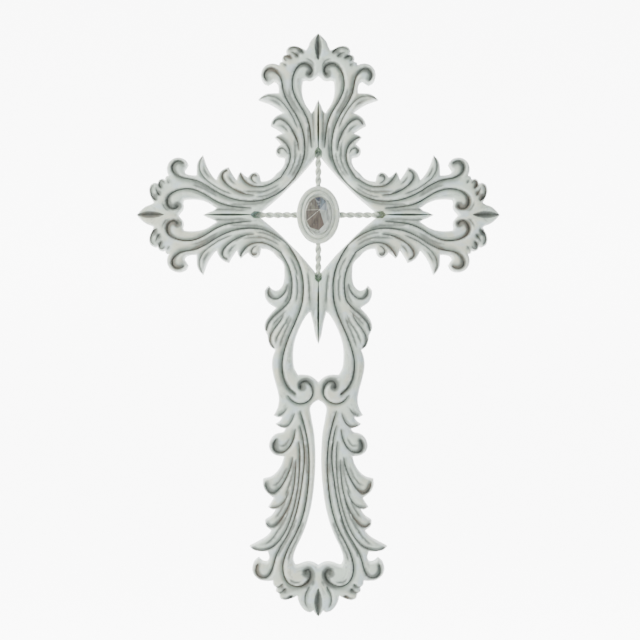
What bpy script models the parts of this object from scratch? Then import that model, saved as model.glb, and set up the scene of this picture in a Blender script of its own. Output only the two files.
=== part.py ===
"""Openwork wall cross, carved with scrolls and leaves, with a jewelled medallion on twisted rods.

The cross hangs flat on a wall. Its back lies in the plane y = 0, its carved face looks along -Y,
+Z is up and +X is to the viewer's right. The origin is on the flat back of the upper arm, just
above the keyhole by which the cross hangs. Lengths are in metres.
"""
import math

import bmesh
import bpy
import numpy as np
from mathutils import Matrix, Vector
from mathutils.geometry import delaunay_2d_cdt
from mathutils.kdtree import KDTree

# Overall size. The drawing below is in units of CROSS_HEIGHT / DRAWN_HEIGHT, a millimetre here.
CROSS_HEIGHT = 0.5832
DRAWN_HEIGHT = 583.2

# Relief of the wooden frame, measured from its flat back.
CREST_HEIGHT = 0.0150
EDGE_HEIGHT = 0.0090
RIM_WIDTH = 0.0020
CREST_OFFSET = 0.0017
GROOVE_DEPTH = 0.0045
GROOVE_TAPER = 0.0100
LOWEST_CARVING = 0.0079
SLIT_TIP_SHARE = 0.125

# How closely the facets follow the drawing. CURVE_STEP is in the drawing's units.
CURVE_STEP = 0.8
OUTLINE_TOLERANCE = 0.00022
CARVING_TOLERANCE = 0.00050
LINE_SPACING = 0.0011
SHORTEST_LINE = 0.0035
SAMPLE_STEP = 0.0003
OFFSET_KEPT = 0.92
SLIT_PARTS = 8

# Keyhole in the back, drawn heights above the crossing.
KEYHOLE_ENTRY_AT = 75.0
KEYHOLE_SEAT_AT = 86.0
MOUNT_AT = 95.0
KEYHOLE_HEAD = 0.0095
KEYHOLE_SLOT = 0.0045
KEYHOLE_LIP = 0.0020
KEYHOLE_DEPTH = 0.0060
KEYHOLE_ARC_PARTS = 8

# Twisted rods.
ROD_DIAMETER = 0.0065
ROD_THINNEST = 0.0038
ROD_LOBE_PITCH = 0.0086
ROD_AXIS_HEIGHT = 0.0080
ROD_SEAT = 0.0030
ROD_STEPS_PER_LOBE = 4
SOCKET_SIDES = 12

# Medallion and jewel. Heights are from the wall, and the jewel's facets are shares of its size.
MEDALLION_WIDTH = 0.0433
MEDALLION_HEIGHT = 0.0575
MEDALLION_BACK = 0.0025
MEDALLION_RIM = 0.0140
MEDALLION_DISH = 0.0135
MEDALLION_BEZEL = 0.0145
MEDALLION_SIDES = 24
RIM_WIDTH_FLAT = 0.0030
RIM_BEVEL = 0.0010
RIM_GROOVE_WIDTH = 0.0010
RIM_GROOVE_DEPTH = 0.0010
SOCKET_DEPTH = 0.0030
JEWEL_WIDTH = 0.0280
JEWEL_HEIGHT = 0.0380
JEWEL_GIRDLE = 0.0015
JEWEL_CROWN = 0.0046
JEWEL_SEAT_DEPTH = 0.0020
JEWEL_SIDES = 16
SHOULDER_INSET = 0.32
SHOULDER_RISE = 0.62
TABLE_INSET = 0.66

# Gap between pieces that touch, and how far a cutter runs past what it cuts.
CLEARANCE = 0.0003
CUTTER_REACH = 0.0130
SHARP_ANGLE = math.radians(30)

# The drawing: points are (across, along) from the crossing. A chain is a list of runs, each a
# smooth curve that starts where the run before it ended, so only the ends of runs are corners.
# One half of an upper arm, from the diagonal between two arms to the arm's tip.
ARM_EDGE = [
    ("hollow", [(41.7, 41.7), (37, 46), (34.3, 51), (33.4, 57)]),
    ("curl", [(36, 57.8), (39.5, 58.6), (42.4, 61.5), (42.5, 65), (40.5, 68.3), (37.5, 70.5)]),
    ("third leaf, under", [(39.5, 73.5), (43.5, 77.8)]),
    ("third leaf, top", [(41, 79.7), (38, 80.7), (35, 81.8)]),
    ("second leaf, under", [(39.5, 84.8), (44, 87.6), (47.8, 89.5)]),
    ("second leaf, top", [(46.8, 93.2), (43.5, 97.8), (39.5, 100.3), (35, 102)]),
    ("first leaf, under", [(38, 104.8), (43, 108.4), (49, 111.6), (55, 113.8), (60, 115.5)]),
    ("first leaf, top", [(56, 119), (51, 121.3), (45.5, 121.7), (39.7, 121.8)]),
    ("hook, inside", [(39.8, 127), (41.2, 132), (44.2, 134), (47, 132.2), (50.5, 130.3)]),
    ("hook, outside", [(54.6, 132.4), (57.3, 138), (56.6, 144.2), (52.8, 149.2), (47, 151.4), (42.5, 151),
                       (39.3, 149.8)]),
    ("small scallop", [(38.6, 152.2), (35.4, 153.4)]),
    ("middle scallop", [(36.3, 156), (34.9, 159.2), (31.6, 160.6)]),
    ("large scallop", [(32.2, 163.8), (30, 167.6), (25, 169.2), (19.5, 168.2), (15.2, 166), (12.3, 164.6)]),
    ("petal", [(10.3, 168), (8.6, 172.6), (4.6, 177.6), (0, 181.7)]),
]
HEART_EDGE = [
    ("scroll", [(0, 140.3), (2.8, 138), (5.2, 136), (9, 135), (12.6, 135.6), (15.4, 134.6)]),
    ("side", [(16, 130), (16, 123), (14.8, 116), (12, 109.5), (9, 105), (7, 101.8)]),
    ("spike", [(4.6, 105), (2.6, 110), (0, 115.3)]),
]
DIAMOND_EDGE = [("side", [(28.7, 28.7), (20, 37.4), (10, 48.8), (0, 61)])]

# One half of the lower arm, from the same diagonal to the foot.
LOWER_EDGE = [
    ("hollow", [(41.7, -41.7), (37, -46), (34.6, -51), (34.2, -57), (34.3, -64), (36.2, -71), (41, -75.3),
                (45.8, -74.4), (49.5, -70.5)]),
    ("curl", [(53.4, -75), (53.6, -81), (50.3, -87.5), (42.4, -93)]),
    ("first leaf", [(48, -99), (52.7, -106), (54, -113), (51, -120.4)]),
    ("second leaf", [(50, -126), (47.7, -131.5), (43.2, -135)]),
    ("strand", [(45.6, -142), (46.5, -150), (45.5, -158), (43, -168), (40.8, -176), (39.6, -184),
                (40.4, -191), (42.6, -196.5), (44.8, -200.2)]),
    ("third leaf, under", [(40, -202.4), (36.2, -202.2)]),
    ("fourth leaf, top", [(38.6, -206), (42.8, -209.2)]),
    ("fourth leaf, under", [(38.8, -212), (32.8, -213.8)]),
    ("lower curl", [(35.5, -217.4), (40, -218.4), (44.5, -220.5), (48.3, -225.5), (49.4, -231.5), (47, -237),
                    (42, -240.4), (34.4, -241.5)]),
    ("fifth leaf, top", [(37, -250), (42, -257.6), (47.6, -262), (55.2, -264)]),
    ("fifth leaf, end", [(55.4, -270), (52.4, -276.6), (44.6, -283)]),
    ("sixth leaf, top", [(47, -287.3), (50.2, -292)]),
    ("sixth leaf, under", [(46, -294.4), (42.2, -294.2)]),
    ("seventh leaf, top", [(46.4, -300.3), (53.4, -305.4)]),
    ("seventh leaf, end", [(52.6, -310.6), (46.6, -315.6)]),
    ("eighth leaf, top", [(51.5, -321.5), (59.6, -326.6), (68.8, -331.4)]),
    ("eighth leaf, under", [(65, -334.8), (57.5, -336.6), (50.6, -336.4)]),
    ("hook, inside", [(49.2, -342), (51, -346.8), (55, -346.8), (60, -343)]),
    ("hook, outside", [(64.6, -347.5), (66.2, -354), (63.8, -360.4), (57.6, -365), (50.6, -365.8),
                       (45.6, -365.6)]),
    ("small scallop", [(45, -369.6), (41.8, -372.6)]),
    ("middle scallop", [(42.6, -375.6), (39.2, -378.6)]),
    ("large scallop", [(38, -383), (33, -385), (27, -383.6), (21, -380.8)]),
    ("petal", [(20.2, -385), (17.4, -391.2), (12.4, -396), (7.6, -397.2), (5, -395.6)]),
    ("foot", [(2.6, -399), (0, -401.5)]),
]
DROP_EDGE = [
    ("spike", [(0, -129.5), (3, -121), (5.2, -109), (8.2, -97)]),
    ("side", [(11, -99.5), (15.5, -106.5), (20.4, -117), (24, -128.5), (25.2, -141), (24, -153),
              (20.4, -160)]),
    ("scroll", [(15.6, -159.8), (10, -160.4), (4.6, -163), (0, -167.3)]),
]
SLOT_EDGE = [
    ("side", [(0, -185.2), (4.2, -187.6), (7.8, -192.5), (6.8, -203), (4, -219), (2.9, -235), (2.8, -250),
              (3.6, -265), (5.2, -280), (7.6, -294), (12, -310), (17, -322.5), (21.4, -331.5), (24.2, -339.5),
              (24.8, -345.5), (23, -350.6)]),
    ("scroll", [(19.5, -350), (15.6, -348.4), (11, -347.4), (6.5, -347.8), (2.8, -349.2), (0, -351.2)]),
]

# Grooves: name, depth as a share of GROOVE_DEPTH, and points from the free end to the root. The
# crest of the strand that rises beside a groove is on its left, seen along these points.
ARM_GROOVES = [
    ("scroll", 1.0, [(8.6, 140.2), (6.4, 142.2), (6, 145.6), (8.5, 149.2), (13.3, 150.9), (18.5, 149.4),
                     (22.8, 144.5), (25.4, 137), (26, 130), (25, 123.5), (22, 116), (17.7, 108.5),
                     (13.2, 101), (10, 93), (8.2, 84), (7.2, 74), (6.6, 65)]),
    ("main", 1.0, [(51.6, 134.5), (53.6, 139), (52, 143.8), (48, 145.8), (43.8, 144.8), (39.8, 141),
                   (37.2, 136), (36, 130), (34.6, 122.5), (31.6, 115.5), (27.6, 108.5), (22.8, 101),
                   (18.8, 93), (15.8, 84.5), (14, 75), (13.6, 66), (14.6, 57), (17.2, 49), (21.2, 41.5),
                   (26, 34.6), (30, 30)]),
    ("first leaf", 0.7, [(57.5, 116), (52, 118.2), (46, 118.2), (40.5, 116), (35.5, 112), (31, 106.5),
                         (27, 100.5), (23, 92.5), (20, 84)]),
    ("second leaf", 0.8, [(44.2, 91), (42.2, 94.3), (38, 95.4), (33.4, 93.3), (28.8, 88.8), (24.8, 83),
                          (21.8, 76.5), (20, 69), (19.4, 62)]),
    ("third leaf", 0.8, [(41, 77.3), (36.4, 75), (32, 71), (29, 65.8), (28, 60), (28.6, 53.5), (31.2, 47),
                         (35, 41), (37.3, 37.3)]),
    ("curl", 0.7, [(39, 61.6), (40.4, 63.6), (38.8, 66), (35, 66), (32, 63), (30.6, 59)]),
    ("large scallop", 0.7, [(15, 162.5), (18.5, 165.8), (23.5, 167.2), (28.4, 166), (30.4, 162.8)]),
    ("large scallop, inner", 0.7, [(20, 158.6), (24, 161.2), (28.6, 162)]),
    ("middle scallop", 0.7, [(27, 156.8), (30.6, 158.6), (33.6, 157.8), (33.8, 154.9), (30, 152.6)]),
    ("small scallop", 0.5, [(32, 149), (35, 150.8), (37.8, 150.4)]),
]
LOWER_GROOVES = [
    ("main", 1.0, [(22.5, -179), (29.5, -172.5), (33.8, -164), (35.8, -154), (35.6, -144), (33, -133),
                   (29, -121.5), (24, -110), (19.4, -99), (16, -88), (14.8, -77), (15, -66), (16.8, -56),
                   (20.2, -46.5), (25, -37.5), (30, -30)]),
    ("outer", 0.8, [(51.4, -115), (49.6, -108.4), (45, -102.6), (39, -97), (33, -91.5), (28.4, -85.5),
                    (26.4, -76), (26.2, -65), (28, -56), (31.6, -47), (37.3, -37.3)]),
    ("curl", 0.7, [(49.6, -74.4), (49.6, -78.4), (46.6, -82.8), (41.6, -84.2), (36, -81), (31.8, -75),
                   (30, -67)]),
    ("second leaf", 0.6, [(44.4, -132.4), (47.2, -128), (47.4, -121.5), (43.6, -114), (37.6, -106),
                          (33, -97)]),
    ("middle scroll", 1.0, [(17.4, -173), (18, -169.6), (15.2, -166.8), (11, -166.6), (7.6, -169.4),
                            (5.6, -174), (5.6, -179.6), (8.6, -184.6), (13.6, -187.8), (19, -188.6),
                            (24.4, -186.6), (28.4, -183), (31.4, -178.4)]),
    ("third leaf", 0.6, [(39.4, -200.8), (34.2, -197.4), (30, -191)]),
    ("fourth leaf", 0.7, [(39.6, -210.8), (34.4, -212), (29.4, -209.8), (25.5, -204), (23, -196)]),
    ("lower curl", 0.9, [(42.4, -224.6), (44.6, -230), (42.6, -235.8), (37.4, -237.6), (31.6, -235),
                         (27, -229.4), (24, -222), (22.6, -212)]),
    ("fifth leaf", 0.9, [(52.6, -268), (50.4, -274.8), (45.4, -278.2), (39.6, -274.6), (34, -267),
                         (29.6, -258), (26.6, -249), (25, -240)]),
    ("sixth leaf", 0.6, [(47.4, -292.8), (41.4, -292), (36, -288.4), (31.6, -282), (28, -272)]),
    ("seventh leaf", 0.8, [(51.4, -308.2), (48, -311.4), (43.4, -310.6), (38, -305.5), (32, -296),
                           (27, -284), (24, -272), (22, -252), (20.8, -235)]),
    ("eighth leaf", 0.8, [(65.6, -332.8), (59, -335), (52, -334.2), (45.4, -331.4), (39, -325.4),
                          (33, -316.5), (27, -302), (22.6, -286), (20.4, -272), (18.2, -250), (17.4, -235),
                          (18.4, -220)]),
    ("hook", 0.9, [(60.6, -349), (62, -354), (60.4, -359.4), (55.6, -362.4), (50.4, -361), (46.4, -355.4),
                   (44, -348), (41.6, -339.6), (36.6, -330), (29, -317), (22.6, -300), (18, -280),
                   (16.4, -262), (14, -248), (13.4, -234), (14.6, -219), (17.4, -205)]),
    ("inner", 1.0, [(13, -355), (9.4, -354.2), (7.4, -358.4), (9, -364), (13.4, -368.8), (19.6, -371),
                    (26, -370), (31.4, -365.6), (34.6, -358), (35, -349), (32, -338), (27, -327),
                    (21, -315.5), (16, -303), (12.6, -289), (10.4, -274), (9.2, -259), (9.4, -244),
                    (10.8, -229), (13.4, -215), (16.6, -202), (19.5, -193)]),
    ("petal side", 0.6, [(9, -371.5), (12.6, -379), (13, -387), (9.4, -394)]),
    ("small scallop", 0.5, [(36, -369), (40, -371.6), (43.8, -370)]),
    ("middle scallop", 0.6, [(33, -373.4), (37.4, -377), (41, -376)]),
    ("large scallop", 0.7, [(26.6, -380.4), (31.6, -382.6), (36.4, -381.4)]),
]

# Straight cuts on an arm's own centre line: name, from, to, half-width.
ARM_SLITS = [("spine", 65.0, 112.5, 1.5), ("petal slit", 154.0, 180.0, 2.7)]
LOWER_SLITS = [("spine", -126.5, -66.0, 1.5), ("foot slit", -399.0, -374.0, 3.0)]

UP, RIGHT, LEFT, DOWN = (0, 1), (1, 0), (-1, 0), (0, -1)
# The halves of the four arms in order round the crossing, and whether each runs outwards there.
ARM_HALVES = [(RIGHT, 1, False), (UP, 1, True), (UP, -1, False), (LEFT, 1, True), (LEFT, -1, False),
              (DOWN, -1, True), (DOWN, 1, False), (RIGHT, -1, True)]
UNIT = CROSS_HEIGHT / DRAWN_HEIGHT
CROSSING = (0.0, 0.0, -MOUNT_AT * UNIT)
UPRIGHT = Matrix.Rotation(math.pi / 2, 4, "X")


def smooth(points):
    """A centripetal spline through the points, in the drawing's units."""
    knots = np.asarray(points, float)
    if len(knots) < 3:
        return knots
    ends = 2 * knots[0] - knots[1], 2 * knots[-1] - knots[-2]
    knots = np.vstack([ends[0], knots, ends[1]])
    curve = [knots[1]]
    for a, b, c, d in zip(knots[:-3], knots[1:-2], knots[2:-1], knots[3:]):
        t1 = np.linalg.norm(b - a) ** 0.5
        t2 = t1 + np.linalg.norm(c - b) ** 0.5
        t3 = t2 + np.linalg.norm(d - c) ** 0.5
        parts = max(2, math.ceil(np.linalg.norm(c - b) / CURVE_STEP))
        for t in np.linspace(t1, t2, parts + 1)[1:]:
            ab = a + (b - a) * t / t1
            bc = b + (c - b) * (t - t1) / (t2 - t1)
            cd = c + (d - c) * (t - t2) / (t3 - t2)
            abc = ab + (bc - ab) * t / t2
            bcd = bc + (cd - bc) * (t - t1) / (t3 - t1)
            curve.append(abc + (bcd - abc) * (t - t1) / (t2 - t1))
    return np.array(curve)


def chain(runs):
    """The smooth runs of a chain, each starting where the last one ends."""
    curves = []
    for _, points in runs:
        start = [tuple(curves[-1][-1])] if curves else []
        curves.append(smooth(start + list(points)))
    return curves


def thin(curve, tolerance):
    """Marks the fewest points of a curve that keep it within the tolerance."""
    keep = np.zeros(len(curve), bool)
    keep[[0, -1]] = True
    spans = [(0, len(curve) - 1)]
    while spans:
        first, last = spans.pop()
        if last - first < 2:
            continue
        start, chord = curve[first], curve[last] - curve[first]
        along = curve[first + 1:last] - start
        share = np.clip(along @ chord / max(chord @ chord, 1e-12), 0, 1)
        away = np.linalg.norm(along - share[:, None] * chord, axis=1)
        furthest = int(away.argmax())
        if away[furthest] > tolerance:
            middle = first + 1 + furthest
            keep[middle] = True
            spans += [(first, middle), (middle, last)]
    return keep


def placed(points, arm, side):
    """Points of a half-arm drawing on the cross, along an arm's direction and to one side of it."""
    along = points[:, 1:] * arm
    across = points[:, :1] * (side * abs(arm[1]), side * abs(arm[0]))
    return (along + across) * UNIT


def offset_left(curve, distance):
    """The curve moved to its left."""
    ahead = np.gradient(curve, axis=0)
    ahead /= np.linalg.norm(ahead, axis=1)[:, None]
    return curve + distance * np.stack([-ahead[:, 1], ahead[:, 0]], axis=1)


class Nearby:
    """Close points along many curves, to ask what lies near a place."""

    def __init__(self, curves):
        """Each curve is an array of points in two columns, with any values in further columns."""
        rows, self.owners = [], []
        for owner, curve in enumerate(curves):
            lengths = np.concatenate([[0], np.cumsum(np.linalg.norm(np.diff(curve[:, :2], axis=0), axis=1))])
            stations = np.linspace(0, lengths[-1], max(2, math.ceil(lengths[-1] / SAMPLE_STEP) + 1))
            rows.append(np.stack([np.interp(stations, lengths, column) for column in curve.T], axis=1))
            self.owners += [owner] * len(stations)
        self.rows = np.vstack(rows)
        self.tree = KDTree(len(self.rows))
        for index, row in enumerate(self.rows):
            self.tree.insert((row[0], row[1], 0.0), index)
        self.tree.balance()

    def distance(self, points):
        """Distance of each point to the nearest curve."""
        return np.array([self.tree.find((x, z, 0.0))[2] for x, z in points])

    def crowded(self, points, owner, reach, names):
        """Marks the points of one curve that come near an earlier curve of another name."""
        marks = []
        for x, z in points:
            found = {self.owners[index] for _, index, _ in self.tree.find_range((x, z, 0.0), reach)}
            marks.append(any(other < owner and names[other] != names[owner] for other in found))
        return np.array(marks)

    def deepest(self, points, reach):
        """The deepest V-cut at each point, from curves with a depth and a half-width."""
        depths = []
        for x, z in points:
            cut_here = 0.0
            for _, index, away in self.tree.find_range((x, z, 0.0), reach):
                depth, width = self.rows[index, 2:]
                cut_here = max(cut_here, depth * (1 - away / width))
            depths.append(cut_here)
        return np.array(depths)


def inside(points, loops):
    """Marks the points within the outline and outside its openings."""
    odd = np.zeros(len(points), bool)
    x, z = points.T
    for loop in loops:
        for (x0, z0), (x1, z1) in zip(loop, np.roll(loop, -1, axis=0)):
            if z0 != z1:
                crossing = (z0 > z) != (z1 > z)
                odd ^= crossing & (x < x0 + (z - z0) * (x1 - x0) / (z1 - z0))
    return odd


def inside_each(curves, loops):
    """The same for a list of curves, in one go."""
    marks = inside(np.vstack([curve[:, :2] for curve in curves]), loops)
    return np.split(marks, np.cumsum([len(curve) for curve in curves])[:-1])


def stretches_of(curve, kept):
    """The stretches of a curve over which every point is kept, with few points each."""
    stretches = []
    edges = np.flatnonzero(np.diff(np.concatenate([[0], kept.astype(int), [0]])))
    for first, last in zip(edges[::2], edges[1::2]):
        stretch = curve[first:last]
        if np.linalg.norm(np.diff(stretch[:, :2], axis=0), axis=1).sum() > SHORTEST_LINE:
            stretches.append(stretch[thin(stretch[:, :2], CARVING_TOLERANCE)])
    return stretches


def half_edge(runs, arm, side):
    """One placed chain, with only the points that its shape needs."""
    curves = [placed(curve, arm, side) for curve in chain(runs)]
    thinned = [curve[thin(curve, OUTLINE_TOLERANCE)] for curve in curves]
    return np.vstack([thinned[0]] + [curve[1:] for curve in thinned[1:]])


def closed(*halves):
    """One loop from chains that meet end to end, without its repeated points."""
    loop = [halves[0][0]]
    for half in halves:
        loop += list(half[1:])
    return np.array(loop[:-1])


def around(upper, lower, lower_way):
    """One anticlockwise loop from both halves of each arm's chain. The lower arm has its own chain,
    whose heights run upwards or downwards."""
    halves = []
    for arm, side, outwards in ARM_HALVES:
        half = half_edge(lower, lower_way, side) if arm == DOWN else half_edge(upper, arm, side)
        halves.append(half if outwards else half[::-1])
    return closed(*halves)


def mirrored(runs, arm):
    """One loop from a chain on an arm's one side and the same chain on its other side."""
    return closed(half_edge(runs, arm, 1), half_edge(runs, arm, -1)[::-1])


def outline_loops():
    """The outer edge and the five openings, as closed loops."""
    hearts = [mirrored(HEART_EDGE, arm) for arm in (UP, RIGHT, LEFT)]
    lower = [mirrored(DROP_EDGE, UP), mirrored(SLOT_EDGE, UP)]
    return [around(ARM_EDGE, LOWER_EDGE, UP), around(DIAMOND_EDGE, DIAMOND_EDGE, DOWN)] + hearts + lower


def drawn_grooves():
    """Name, arm, side and curve of every groove, in the drawing's units, with its depth in metres."""
    grooves = []
    for table, arms in ((ARM_GROOVES, (UP, RIGHT, LEFT)), (LOWER_GROOVES, (UP,))):
        for name, share, points in table:
            curve = smooth(points)
            steps = np.linalg.norm(np.diff(curve, axis=0), axis=1)
            length = np.concatenate([[0], np.cumsum(steps)]) * UNIT
            depth = np.full((len(curve), 1), share * GROOVE_DEPTH)
            meets_next_arm = abs(curve[-1][0]) == abs(curve[-1][1])
            if not meets_next_arm:
                depth[:, 0] *= np.clip((length[-1] - length) / GROOVE_TAPER, 0, 1)
            grooves += [(name, arm, side, curve, depth) for arm in arms for side in (1, -1)]
    return grooves


def groove_cuts(edges, loops):
    """Placed grooves that keep clear of the edges and of each other, with depths and half-widths."""
    names, curves = [], []
    for name, arm, side, curve, depth in drawn_grooves():
        names.append(name)
        curves.append(np.hstack([placed(curve, arm, side), depth, np.full((len(curve), 1), CREST_OFFSET)]))
    everything, cuts = Nearby(curves), []
    for owner, (curve, within) in enumerate(zip(curves, inside_each(curves, loops))):
        clear = within & (edges.distance(curve[:, :2]) > LINE_SPACING)
        clear &= ~everything.crowded(curve[:, :2], owner, LINE_SPACING, names)
        cuts += stretches_of(curve, clear)
    return cuts


def slit_cuts():
    """The straight slits on the arms' centre lines, and the two swelling sides of each."""
    cuts, sides = [], []
    for table, arms in ((ARM_SLITS, (UP, RIGHT, LEFT)), (LOWER_SLITS, (UP,))):
        for _, start, end, half_width in table:
            share = np.linspace(0, 1, SLIT_PARTS + 1)
            axis = np.stack([0 * share, start + (end - start) * share], axis=1)
            bow = np.clip(np.sin(math.pi * share), 0, 1)
            swell = half_width * np.maximum(bow, SLIT_TIP_SHARE)
            depth = GROOVE_DEPTH * np.sqrt(bow)
            for arm in arms:
                cuts.append(np.hstack([placed(axis, arm, 1), depth[:, None], swell[:, None] * UNIT]))
                sides += [placed(axis[1:-1] + np.outer(swell[1:-1], (side, 0)), arm, 1) for side in (1, -1)]
    return cuts, sides


def crest_lines(edges, cuts, loops):
    """Where the strand beside each groove is highest, just left of the groove."""
    names, curves = [], []
    for name, arm, side, curve, _ in drawn_grooves():
        names.append(name)
        curves.append(placed(offset_left(curve, CREST_OFFSET / UNIT), arm, side))
    everything, crests = Nearby(curves), []
    for owner, (curve, within) in enumerate(zip(curves, inside_each(curves, loops))):
        clear = within & (edges.distance(curve) > RIM_WIDTH)
        clear &= cuts.distance(curve) > OFFSET_KEPT * CREST_OFFSET
        clear &= ~everything.crowded(curve, owner, LINE_SPACING, names)
        crests += stretches_of(curve, clear)
    return crests


def rim_lines(edges, cuts, crests, loops):
    """The inner line of the bevel that runs along every edge."""
    upper = [(runs, arm) for runs in (ARM_EDGE, HEART_EDGE) for arm in (UP, RIGHT, LEFT)]
    lower = [(runs, UP) for runs in (LOWER_EDGE, DROP_EDGE, SLOT_EDGE)]
    inner = [(DIAMOND_EDGE, arm) for arm in (UP, RIGHT, LEFT, DOWN)]
    curves = []
    for runs, arm in upper + lower + inner:
        for curve in chain(runs):
            for way in (1, -1):
                bevel = offset_left(curve, way * RIM_WIDTH / UNIT)
                curves += [placed(bevel, arm, side) for side in (1, -1)]
    rims = []
    for curve, within in zip(curves, inside_each(curves, loops)):
        if within.any():
            clear = within & (edges.distance(curve) > OFFSET_KEPT * RIM_WIDTH)
            clear &= (cuts.distance(curve) > LINE_SPACING) & (crests.distance(curve) > LINE_SPACING)
            rims += stretches_of(curve, clear)
    return rims


def relief_height(points, edges, cuts):
    """How far the carved face stands off the flat back at each point."""
    bevel = np.clip(edges.distance(points) / RIM_WIDTH, 0, 1)
    height = EDGE_HEIGHT + (CREST_HEIGHT - EDGE_HEIGHT) * bevel
    widest = cuts.rows[:, 3].max()
    return np.maximum(height - cuts.deepest(points, widest), LOWEST_CARVING)


def carved_face(loops):
    """The triangles of the carved face: its points, their heights and the faces."""
    edges = Nearby([np.vstack([loop, loop[:1]]) for loop in loops])
    slits, slit_sides = slit_cuts()
    grooves = groove_cuts(edges, loops) + slits
    cuts = Nearby(grooves)
    crests = crest_lines(edges, cuts, loops)
    rims = rim_lines(edges, cuts, Nearby(crests + slit_sides), loops)
    points, pairs = [], []
    for loop in loops:
        first = len(points)
        points += list(loop)
        pairs += [(first + n, first + (n + 1) % len(loop)) for n in range(len(loop))]
    for line in grooves + slit_sides + crests + rims:
        first = len(points)
        points += list(line[:, :2])
        pairs += [(first + n, first + n + 1) for n in range(len(line) - 1)]
    drawn = [Vector(point / UNIT) for point in points]
    corners, _, faces, *_ = delaunay_2d_cdt(drawn, pairs, [], 0, 1e-4)
    corners, faces = np.array(corners) * UNIT, np.array(faces)
    faces = faces[inside(corners[faces].mean(axis=1), loops)]
    used, faces = np.unique(faces, return_inverse=True)
    corners = corners[used]
    return corners, relief_height(corners, edges, cuts), faces.reshape(-1, 3)


def new_object(name, mesh, collection):
    """An object at the crossing, in a collection."""
    item = bpy.data.objects.new(name, mesh)
    item.location = CROSSING
    collection.objects.link(item)
    return item


def mesh_from(bm, name):
    """Closes the work on a bmesh and gives its mesh, with faces pointing out."""
    bmesh.ops.recalc_face_normals(bm, faces=bm.faces)
    mesh = bpy.data.meshes.new(name)
    bm.to_mesh(mesh)
    bm.free()
    return mesh


def build_frame(collection):
    """The carved wooden cross: its carved face drawn back to a flat back."""
    corners, heights, faces = carved_face(outline_loops())
    bm = bmesh.new()
    verts = [bm.verts.new((x, -height, z)) for (x, z), height in zip(corners, heights)]
    for a, b, c in faces:
        bm.faces.new((verts[a], verts[b], verts[c]))
    rim = [edge for edge in bm.edges if edge.is_boundary]
    walls = bmesh.ops.extrude_edge_only(bm, edges=rim)["geom"]
    for vert in walls:
        if isinstance(vert, bmesh.types.BMVert):
            vert.co.y = 0.0
    back = [item for item in walls if isinstance(item, bmesh.types.BMEdge) and item.is_boundary]
    bmesh.ops.triangle_fill(bm, use_beauty=True, edges=back)
    return new_object("cross_frame", mesh_from(bm, "cross_frame"), collection)


def prism(name, outline, near, far, collection):
    """A cutter: a flat outline, drawn from one distance off the back to another."""
    curve = bpy.data.curves.new(name, "CURVE")
    curve.dimensions = "2D"
    curve.fill_mode = "BOTH"
    curve.extrude = (far - near) / 2
    spline = curve.splines.new("POLY")
    spline.points.add(len(outline) - 1)
    spline.use_cyclic_u = True
    for point, (x, z) in zip(spline.points, outline):
        point.co = (x, z, 0.0, 1.0)
    flat = bpy.data.objects.new(name + "_curve", curve)
    collection.objects.link(flat)
    bpy.context.view_layer.update()
    mesh = bpy.data.meshes.new_from_object(flat.evaluated_get(bpy.context.evaluated_depsgraph_get()))
    bpy.data.objects.remove(flat)
    bm = bmesh.new()
    bm.from_mesh(mesh)
    bmesh.ops.remove_doubles(bm, verts=bm.verts, dist=1e-6)
    bmesh.ops.transform(bm, matrix=UPRIGHT, verts=bm.verts)
    bmesh.ops.translate(bm, vec=(0.0, -(near + far) / 2, 0.0), verts=bm.verts)
    return new_object(name, mesh_from(bm, name), collection)


def cut(item, cutter):
    """Takes a cutter's shape out of an object."""
    modifier = item.modifiers.new("cut " + cutter.name, "BOOLEAN")
    modifier.operation = "DIFFERENCE"
    modifier.solver = "EXACT"
    modifier.object = cutter
    cutter.hide_render = True
    cutter.display_type = "WIRE"


def round_slot(bottom, top, radius):
    """Outline of an upright slot with round ends, between the centres of its ends."""
    turns = [math.pi * n / KEYHOLE_ARC_PARTS for n in range(KEYHOLE_ARC_PARTS + 1)]
    upper = [(radius * math.cos(t), top + radius * math.sin(t)) for t in turns]
    lower = [(-radius * math.cos(t), bottom - radius * math.sin(t)) for t in turns]
    return upper + lower


def cut_keyhole(frame, cutters):
    """A keyhole in the back: a round entry, a narrow slot and a wider undercut behind its lip."""
    entry, seat = KEYHOLE_ENTRY_AT * UNIT, KEYHOLE_SEAT_AT * UNIT
    shapes = {
        "keyhole_entry": (round_slot(entry, entry, KEYHOLE_HEAD / 2), -CUTTER_REACH, KEYHOLE_DEPTH),
        "keyhole_slot": (round_slot(entry, seat, KEYHOLE_SLOT / 2), -CUTTER_REACH, KEYHOLE_LIP + CLEARANCE),
        "keyhole_undercut": (round_slot(entry, seat, KEYHOLE_HEAD / 2 - CLEARANCE), KEYHOLE_LIP,
                             KEYHOLE_DEPTH - CLEARANCE),
    }
    for name, (outline, near, far) in shapes.items():
        cut(frame, prism(name, outline, near, far, cutters))


def rod_stations():
    """Name, direction in the cross's plane, inner end and outer end of each rod."""
    corner = DIAMOND_EDGE[0][1][-1][1] * UNIT
    across = MEDALLION_WIDTH / 2 - SOCKET_DEPTH + CLEARANCE
    upright = MEDALLION_HEIGHT / 2 - SOCKET_DEPTH + CLEARANCE
    outer = corner + ROD_SEAT
    return [("rod_top", (0, 1), upright, outer), ("rod_right", (1, 0), across, outer),
            ("rod_bottom", (0, -1), upright, outer), ("rod_left", (-1, 0), across, outer)]


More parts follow.
